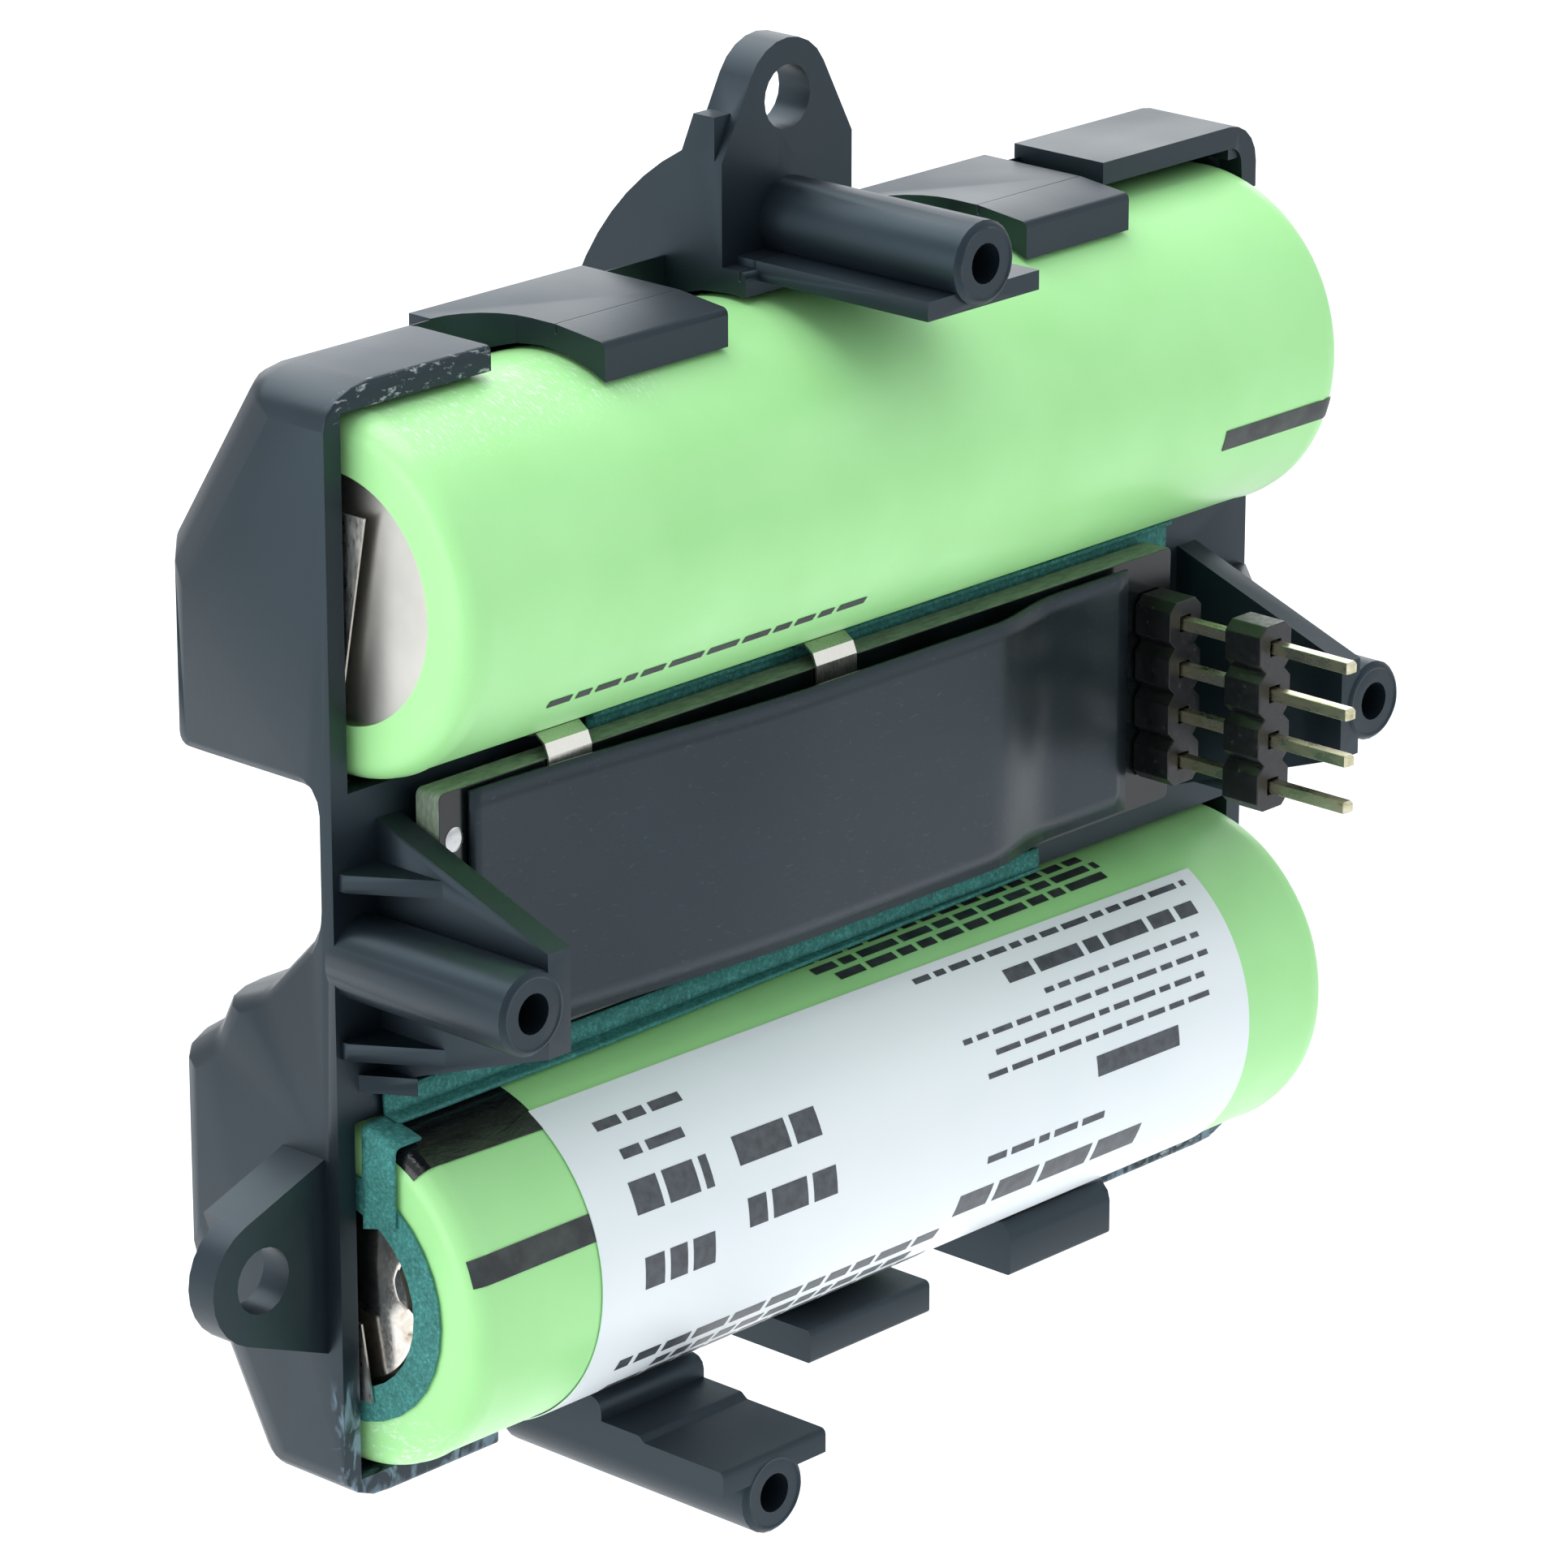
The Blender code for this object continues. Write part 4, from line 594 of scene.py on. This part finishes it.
# Pressed bright nickel: mirror-like silver, with warm stains where it was welded
pressed_nickel, tree, place = new_material("pressed_bright_nickel")
speck = add(tree, "TexNoise", {"Vector": place, "Scale": 1 / CAP_SPECK, "Detail": 3.0, "Roughness": 0.6})
tint = add(tree, "TexNoise", {
    "Vector": place, "Scale": 1 / CAP_TINT, "Detail": 3.0, "Roughness": 0.6, "Distortion": 0.8,
})
colour = add(tree, "ValToRGB", {0: tint}, stops=(
    (0.45, linear("#E6E3DC")), (0.66, linear("#D2C8BA")), (0.80, linear("#7A675A")),
))
gloss = add(tree, "MapRange", {0: speck, 1: 0.3, 2: 0.7, 3: 0.12, 4: 0.26})
shader = add(tree, "BsdfPrincipled", {"Base Color": colour, "Roughness": gloss, "Metallic": 1.0})
add(tree, "OutputMaterial", {"Surface": shader})

for prefix, middle, facing in (("upper", upper_middle, 1), ("lower", lower_middle, -1)):
    dress(f"{prefix}_cell_can", plated_steel)
    dress(f"{prefix}_cell_winding", electrode)
    dress(f"{prefix}_cell_gasket", seal)
    dress(f"{prefix}_cell_cap", pressed_nickel)
    # The button stands on three legs with the vents open between them. Each level of it is (reach at a leg,
    # reach at a vent, depth under the cell's end) in mm.
    rings = []
    for wide, narrow, depth in CAP_LEVELS:
        ring = []
        for k in range(CAP_TURNS):
            turn = 2 * math.pi * k / CAP_TURNS
            leg = 0.5 + 0.5 * math.tanh(LEG_CRISP * (math.cos(3 * turn + LEG_TURN) + LEG_SHARE))
            reach = (narrow + (wide - narrow) * leg) * MM
            x = facing * (sleeve_end - depth * MM)
            ring.append(middle + Vector((x, reach * math.cos(turn), reach * math.sin(turn))))
        rings.append(ring)
    button = skin(f"{prefix}_cap_button", rings, sharp=40)
    place_piece(f"{prefix}_cap_button", button, pressed_nickel, "nickel")

# The insulating papers. Dark green barley paper, cut by a die: a ring on each positive end, a sheet behind
# the board turned up under the upper cell, and one laid over the lower cell.
PAPER = 0.22 * MM
PAPER_LIFT = 0.40 * MM  # its middle over the cell
PAPER_WAVE = 0.05 * MM
PAPER_FIBRE = 0.22 * MM
PAPER_BLOT = 1.2 * MM
PAPER_STEPS = 60
PAPER_START = 9.5  # degrees round the cell where a sheet first follows it
RIM_Y = 11.5 * MM
SHEET_BEFORE_RIM = (0.2 * MM, 0.25 * MM)  # at its edge and where it turns
SHEET_TURN = 9.75 * MM  # from the cell's axis
UPPER_SHEET_X = (-17.0 * MM, 27.0 * MM)
LOWER_SHEET_X = (-31.2 * MM, 17.0 * MM)
UPPER_SHEET_EDGE = -6.6 * MM
LOWER_SHEET_EDGE = -7.3 * MM

# Barley paper: dyed green fibres, pale where they lie bare, and quite without gloss
barley, tree, place = new_material("green_barley_paper")
fibre = add(tree, "TexNoise", {
    "Vector": place, "Scale": 1 / PAPER_FIBRE, "Detail": 5.0, "Roughness": 0.75, "Distortion": 0.6,
})
colour = add(tree, "ValToRGB", {0: fibre}, stops=(
    (0.32, linear("#28655F")), (0.52, linear("#3A8882")), (0.72, linear("#66B3AD")),
))
blot = add(tree, "TexNoise", {"Vector": place, "Scale": 1 / PAPER_BLOT, "Detail": 3.0})
shade = add(tree, "ValToRGB", {0: blot}, stops=((0.3, (0.78, 0.78, 0.78, 1.0)), (0.7, WHITE)))
colour = add(tree, "Mix", {0: 1.0, 6: colour, 7: shade}, out=2, data_type="RGBA", blend_type="MULTIPLY")
relief = add(tree, "Bump", {"Strength": 0.6, "Distance": 0.04 * MM, "Height": fibre})
shader = add(tree, "BsdfPrincipled", {"Base Color": colour, "Normal": relief, "Roughness": 0.78})
add(tree, "OutputMaterial", {"Surface": shader})

dress("upper_cell_washer", barley)
dress("lower_cell_washer", barley)


def place_sheet(name, rows, thick, finish, slot, *replaced):
    """A sheet through rows of points, thickened to both sides."""
    made = place_piece(name, skin(name, rows, around=False, ends="open", sharp=180), finish, slot, *replaced)
    solid = made.modifiers.new("thickness", "SOLIDIFY")
    solid.thickness = thick
    solid.offset = 0.0


def turned_sheet(middle, way, flat_to, x_range, stop):
    """Rows of a sheet that comes forward past the rim and turns along a cell, up to the angle that stop
    gives for each place along it."""
    rows = []
    for j in range(PAPER_STEPS + 1):
        x = x_range[0] + (x_range[1] - x_range[0]) * j / PAPER_STEPS
        wave = PAPER_WAVE * noise.noise(Vector((x / (7 * MM), way * 4.0, 0.0)))
        row = [
            Vector((x, RIM_Y - SHEET_BEFORE_RIM[0], flat_to)),
            Vector((x, RIM_Y - SHEET_BEFORE_RIM[1], middle.z + way * SHEET_TURN)),
        ]
        for k in range(6):
            turn = math.radians(PAPER_START + (stop(x / MM) - PAPER_START) * k / 5)
            reach = cell_radius + PAPER_LIFT + wave * k / 5
            z = middle.z + way * reach * math.cos(turn)
            row.append(Vector((x, middle.y - reach * math.sin(turn), z)))
        rows.append(row)
    return rows


sheet = turned_sheet(upper_middle, -1, UPPER_SHEET_EDGE, UPPER_SHEET_X, lambda x: 12.5)
place_sheet("upper_insulating_paper", sheet, PAPER, barley, "barley_paper", "upper_paper")
# The lower sheet is cut narrower towards its right
sheet = turned_sheet(
    lower_middle, 1, LOWER_SHEET_EDGE, LOWER_SHEET_X, lambda x: 14.8 - 0.14 * max(0.0, x + 16.0)
)
place_sheet("lower_insulating_paper", sheet, PAPER, barley, "barley_paper", "lower_paper")

# The paper's tail. The lower paper's left end is folded over the cell's shoulder and hangs down in front of
# the ring.
TAIL_THICK = 0.16 * MM
TAIL_LIFT = 0.36 * MM
TAIL_FOLD = 0.42 * MM  # the fold's radius
TAIL_LOW = -13.9 * MM
TAIL_RISE = 0.6 * MM  # of its lower edge, towards the front
TAIL_WIDE = 14.0  # degrees round the cell
TAIL_WAVER = 0.03 * MM
TAIL_FOLD_X = -32.3 * MM

rows = []
for k in range(9):
    turn = math.radians(PAPER_START + TAIL_WIDE * k / 8)
    y = lower_middle.y - (cell_radius + TAIL_LIFT) * math.sin(turn)
    z = lower_middle.z + (cell_radius + TAIL_LIFT) * math.cos(turn)
    row = [Vector((x * MM, y, z)) for x in (-31.2 + 0.3 * k / 8, -31.6, -31.9)]
    for bend in (0, 25, 50, 75, 90):
        bend = math.radians(bend)
        x = TAIL_FOLD_X - TAIL_FOLD * math.sin(bend)
        row.append(Vector((x, y, z - TAIL_FOLD * (1 - math.cos(bend)))))
    low = TAIL_LOW + TAIL_RISE * k / 8
    for step in range(1, 9):
        waver = TAIL_WAVER * noise.noise(Vector((k * 0.4, step * 0.5, 2.0)))
        top = z - TAIL_FOLD
        row.append(Vector((TAIL_FOLD_X - TAIL_FOLD - waver, y, top + (low - top) * step / 8)))
    rows.append(row)
place_sheet("paper_tail", rows, TAIL_THICK, barley, "barley_paper")

# The board. Glass-epoxy laminate, 1.6 mm thick, routed to shape, with a solder mask on both faces.
BOARD_EDGE = 0.05 * MM
GLASS_WEAVE = 0.25 * MM
TRACK_WIDTH = 4 * MM

# Glass-epoxy laminate: pale grey-green where it was cut, glossy black-green under the mask
laminate, tree, place = new_material("glass_epoxy_laminate")
facing = add(tree, "SeparateXYZ", {0: add(tree, "TexCoord", out="Normal")}, out=1)
facing = add(tree, "Math", {0: facing}, operation="ABSOLUTE")
flat = add(tree, "Math", {0: facing, 1: 0.5}, operation="GREATER_THAN")
drawn = add(tree, "Mapping", {"Vector": place, "Scale": (0.3, 1.0, 0.3)})
weave = add(tree, "TexNoise", {"Vector": drawn, "Scale": 1 / GLASS_WEAVE, "Detail": 4.0, "Roughness": 0.6})
cut = add(tree, "ValToRGB", {0: weave}, stops=((0.3, linear("#6C7A6C")), (0.7, linear("#97A592"))))
tracks = add(tree, "TexNoise", {"Vector": place, "Scale": 1 / TRACK_WIDTH, "Detail": 1.0})
masked = add(tree, "ValToRGB", {0: tracks}, stops=((0.48, linear("#070D0E")), (0.52, linear("#0B1314"))))
colour = add(tree, "Mix", {0: flat, 6: cut, 7: masked}, out=2, data_type="RGBA")
gloss = add(tree, "MapRange", {0: flat, 1: 0.0, 2: 1.0, 3: 0.6, 4: 0.22})
shader = add(tree, "BsdfPrincipled", {"Base Color": colour, "Roughness": gloss, "IOR": 1.55})
add(tree, "OutputMaterial", {"Surface": shader})
refined("laminate_board", "circuit_board", BOARD_EDGE, laminate, "board")

# The pad at the board's left end, a drop of tin solder with a dimple where a test pin pressed it.
PAD_PLACE = Vector((-28.3 * MM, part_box("circuit_board")[0].y, 5.5 * MM))
PAD_LEVELS = ((0.62, 0.0), (0.62, 0.03), (0.35, 0.12), (0.12, 0.10))  # radius and height in mm
PAD_TURNS = 40
SOLDER_GRAIN = 0.3 * MM

# Tin solder: bright cool metal, slightly frosted
solder, tree, place = new_material("tin_solder")
grain = add(tree, "TexNoise", {"Vector": place, "Scale": 1 / SOLDER_GRAIN, "Detail": 3.0})
gloss = add(tree, "MapRange", {0: grain, 1: 0.3, 2: 0.7, 3: 0.15, 4: 0.35})
shader = add(tree, "BsdfPrincipled", {"Base Color": linear("#C9CBCB"), "Roughness": gloss, "Metallic": 1.0})
add(tree, "OutputMaterial", {"Surface": shader})

rings = []
for radius, height in PAD_LEVELS:
    turns = [2 * math.pi * k / PAD_TURNS for k in range(PAD_TURNS)]
    rings.append([
        PAD_PLACE + Vector((radius * math.cos(t), -height, radius * math.sin(t))) * MM for t in turns
    ])
place_piece("left_end_pad", skin("left_end_pad", rings, sharp=40), solder, "tinned")

# The protection circuit's parts under the card: moulded epoxy packages, and a sense resistor of tinned metal.
EPOXY_GRAIN = 0.15 * MM

# Moulded epoxy: charcoal with a fine matt grain
epoxy, tree, place = new_material("moulded_black_epoxy")
grain = add(tree, "TexNoise", {"Vector": place, "Scale": 1 / EPOXY_GRAIN, "Detail": 3.0})
relief = add(tree, "Bump", {"Strength": 0.3, "Distance": 0.01 * MM, "Height": grain})
shader = add(tree, "BsdfPrincipled", {
    "Base Color": linear("#1B1B1C"), "Roughness": 0.5, "Normal": relief,
})
add(tree, "OutputMaterial", {"Surface": shader})
for node in ("protection_ic", "charge_mosfet", "discharge_mosfet", "thermistor", "balance_resistor"):
    dress(node, epoxy)
dress("sense_resistor", solder)

# The insulating card. A stiff plastic sheet cut with a blade and laid over the circuit. It lies flat at its
# left, bulges over the parts further right, and falls again before the header.
CARD_THICK = 0.2 * MM
CARD_LIFT = 0.25 * MM  # its middle over the board where it lies flat
CARD_BULGE = 1.35 * MM
CARD_RISE = 24 * MM
CARD_FALL = 6 * MM
CARD_FLAT = 5.8 * MM
CARD_FALL_SHARE = 0.8
CARD_BELLY = 0.12
CARD_STEPS = (60, 12)  # along it and up it
CARD_TONE = 10 * MM
CARD_RUB = 0.5 * MM
board_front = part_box("circuit_board")[0].y
card_low, card_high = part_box("insulator_card")

# Satin polyester sheet: blue-black with a broad soft highlight and light rub marks
card_sheet, tree, place = new_material("dark_satin_plastic_sheet")
tone = add(tree, "TexNoise", {"Vector": place, "Scale": 1 / CARD_TONE, "Detail": 2.0})
colour = add(tree, "ValToRGB", {0: tone}, stops=((0.3, linear("#171F23")), (0.7, linear("#20292E"))))
drawn = add(tree, "Mapping", {"Vector": place, "Scale": (0.8, 1.0, 2.2)})
rub = add(tree, "TexNoise", {
    "Vector": drawn, "Scale": 1 / CARD_RUB, "Detail": 5.0, "Roughness": 0.7, "Distortion": 0.5,
})
rub = add(tree, "ValToRGB", {0: rub}, stops=((0.60, BLACK), (0.75, WHITE)))
rub = add(tree, "Math", {0: rub, 1: 0.18}, operation="MULTIPLY")
colour = add(tree, "Mix", {0: rub, 6: colour, 7: linear("#7E8890")}, out=2, data_type="RGBA")
gloss = add(tree, "MapRange", {0: tone, 1: 0.3, 2: 0.7, 3: 0.26, 4: 0.36})
shader = add(tree, "BsdfPrincipled", {
    "Base Color": colour, "Roughness": gloss, "IOR": 1.5, "Specular Tint": linear("#D6E8FA"),
})
add(tree, "OutputMaterial", {"Surface": shader})


def ease(share):
    share = min(1.0, max(0.0, share))
    return share * share * (3 - 2 * share)


rows = []
for j in range(CARD_STEPS[0] + 1):
    x = card_low.x + (card_high.x - card_low.x) * j / CARD_STEPS[0]
    fallen = ease((x + CARD_FLAT - card_high.x) / CARD_FALL + 1)
    rise = ease((x - card_low.x) / CARD_RISE) - CARD_FALL_SHARE * fallen
    row = []
    for k in range(CARD_STEPS[1] + 1):
        belly = 1.0 + CARD_BELLY * math.sin(math.pi * k / CARD_STEPS[1]) * rise
        z = card_low.z + (card_high.z - card_low.z) * k / CARD_STEPS[1]
        row.append(Vector((x, board_front - CARD_LIFT - CARD_BULGE * rise * belly, z)))
    rows.append(row)
place_sheet("satin_card", rows, CARD_THICK, card_sheet, "card", "insulator_card")

# The header. Two black insulators, moulded as a strip and snapped off at their notches, on four square brass
# pins with a thin plate.
INSULATOR_EDGE = 0.06 * MM
PIN_EDGE = 0.04 * MM
CHIP = 0.4 * MM
STAIN = 0.6 * MM

# Glass-filled nylon: jet black, grey where it was snapped
header_plastic, tree, place = new_material("snapped_header_plastic")
chip = add(tree, "TexNoise", {"Vector": place, "Scale": 1 / CHIP, "Detail": 5.0, "Roughness": 0.7})
colour = add(tree, "ValToRGB", {0: chip}, stops=((0.62, linear("#0A0B0D")), (0.76, linear("#50565A"))))
gloss = add(tree, "MapRange", {0: chip, 1: 0.3, 2: 0.7, 3: 0.28, 4: 0.5})
relief = add(tree, "Bump", {"Strength": 0.25, "Distance": 0.03 * MM, "Height": chip})
shader = add(tree, "BsdfPrincipled", {
    "Base Color": colour, "Roughness": gloss, "Normal": relief, "IOR": 1.56,
})
add(tree, "OutputMaterial", {"Surface": shader})
for prefix in ("inner", "outer"):
    node = f"header_{prefix}_insulator"
    refined(f"{prefix}_insulator", node, INSULATOR_EDGE, header_plastic, "header_plastic")

# Tarnished tin plate over brass: pale yellow metal with duller, browner stains
pin_plate, tree, place = new_material("tarnished_pin_plate")
drawn = add(tree, "Mapping", {"Vector": place, "Scale": (1.0, 0.4, 1.0)})
stain = add(tree, "TexNoise", {"Vector": drawn, "Scale": 1 / STAIN, "Detail": 3.0, "Roughness": 0.55})
colour = add(tree, "ValToRGB", {0: stain}, stops=(
    (0.35, linear("#DEDAC0")), (0.60, linear("#C9C3A2")), (0.80, linear("#8E8A6C")),
))
gloss = add(tree, "MapRange", {0: stain, 1: 0.3, 2: 0.7, 3: 0.18, 4: 0.42})
shader = add(tree, "BsdfPrincipled", {"Base Color": colour, "Roughness": gloss, "Metallic": 1.0})
add(tree, "OutputMaterial", {"Surface": shader})
for k in range(1, 5):
    refined(f"plated_pin_{k}", f"header_pin_{k}", PIN_EDGE, pin_plate, "pin_metal")

# The strips. Rolled pure nickel, 0.12 mm thick, sheared to width and spot-welded to the cells.
ROLLING_LINE = 0.15 * MM

# Rolled nickel: bright warm silver with fine lines along the rolling direction
rolled_nickel, tree, place = new_material("rolled_nickel_strip")
drawn = add(tree, "Mapping", {"Vector": place, "Scale": (3.0, 1.0, 0.3)})
rolled = add(tree, "TexNoise", {"Vector": drawn, "Scale": 1 / ROLLING_LINE, "Detail": 3.0})
colour = add(tree, "ValToRGB", {0: rolled}, stops=((0.3, linear("#CFCCC5")), (0.7, linear("#E6E3DC"))))
gloss = add(tree, "MapRange", {0: rolled, 1: 0.3, 2: 0.7, 3: 0.26, 4: 0.40})
shader = add(tree, "BsdfPrincipled", {"Base Color": colour, "Roughness": gloss, "Metallic": 1.0})
add(tree, "OutputMaterial", {"Surface": shader})
for node in (
    "negative_tab", "positive_tab", "series_tab_upper", "series_tab_lower", "negative_lead", "mid_tap_lead",
):
    dress(node, rolled_nickel)
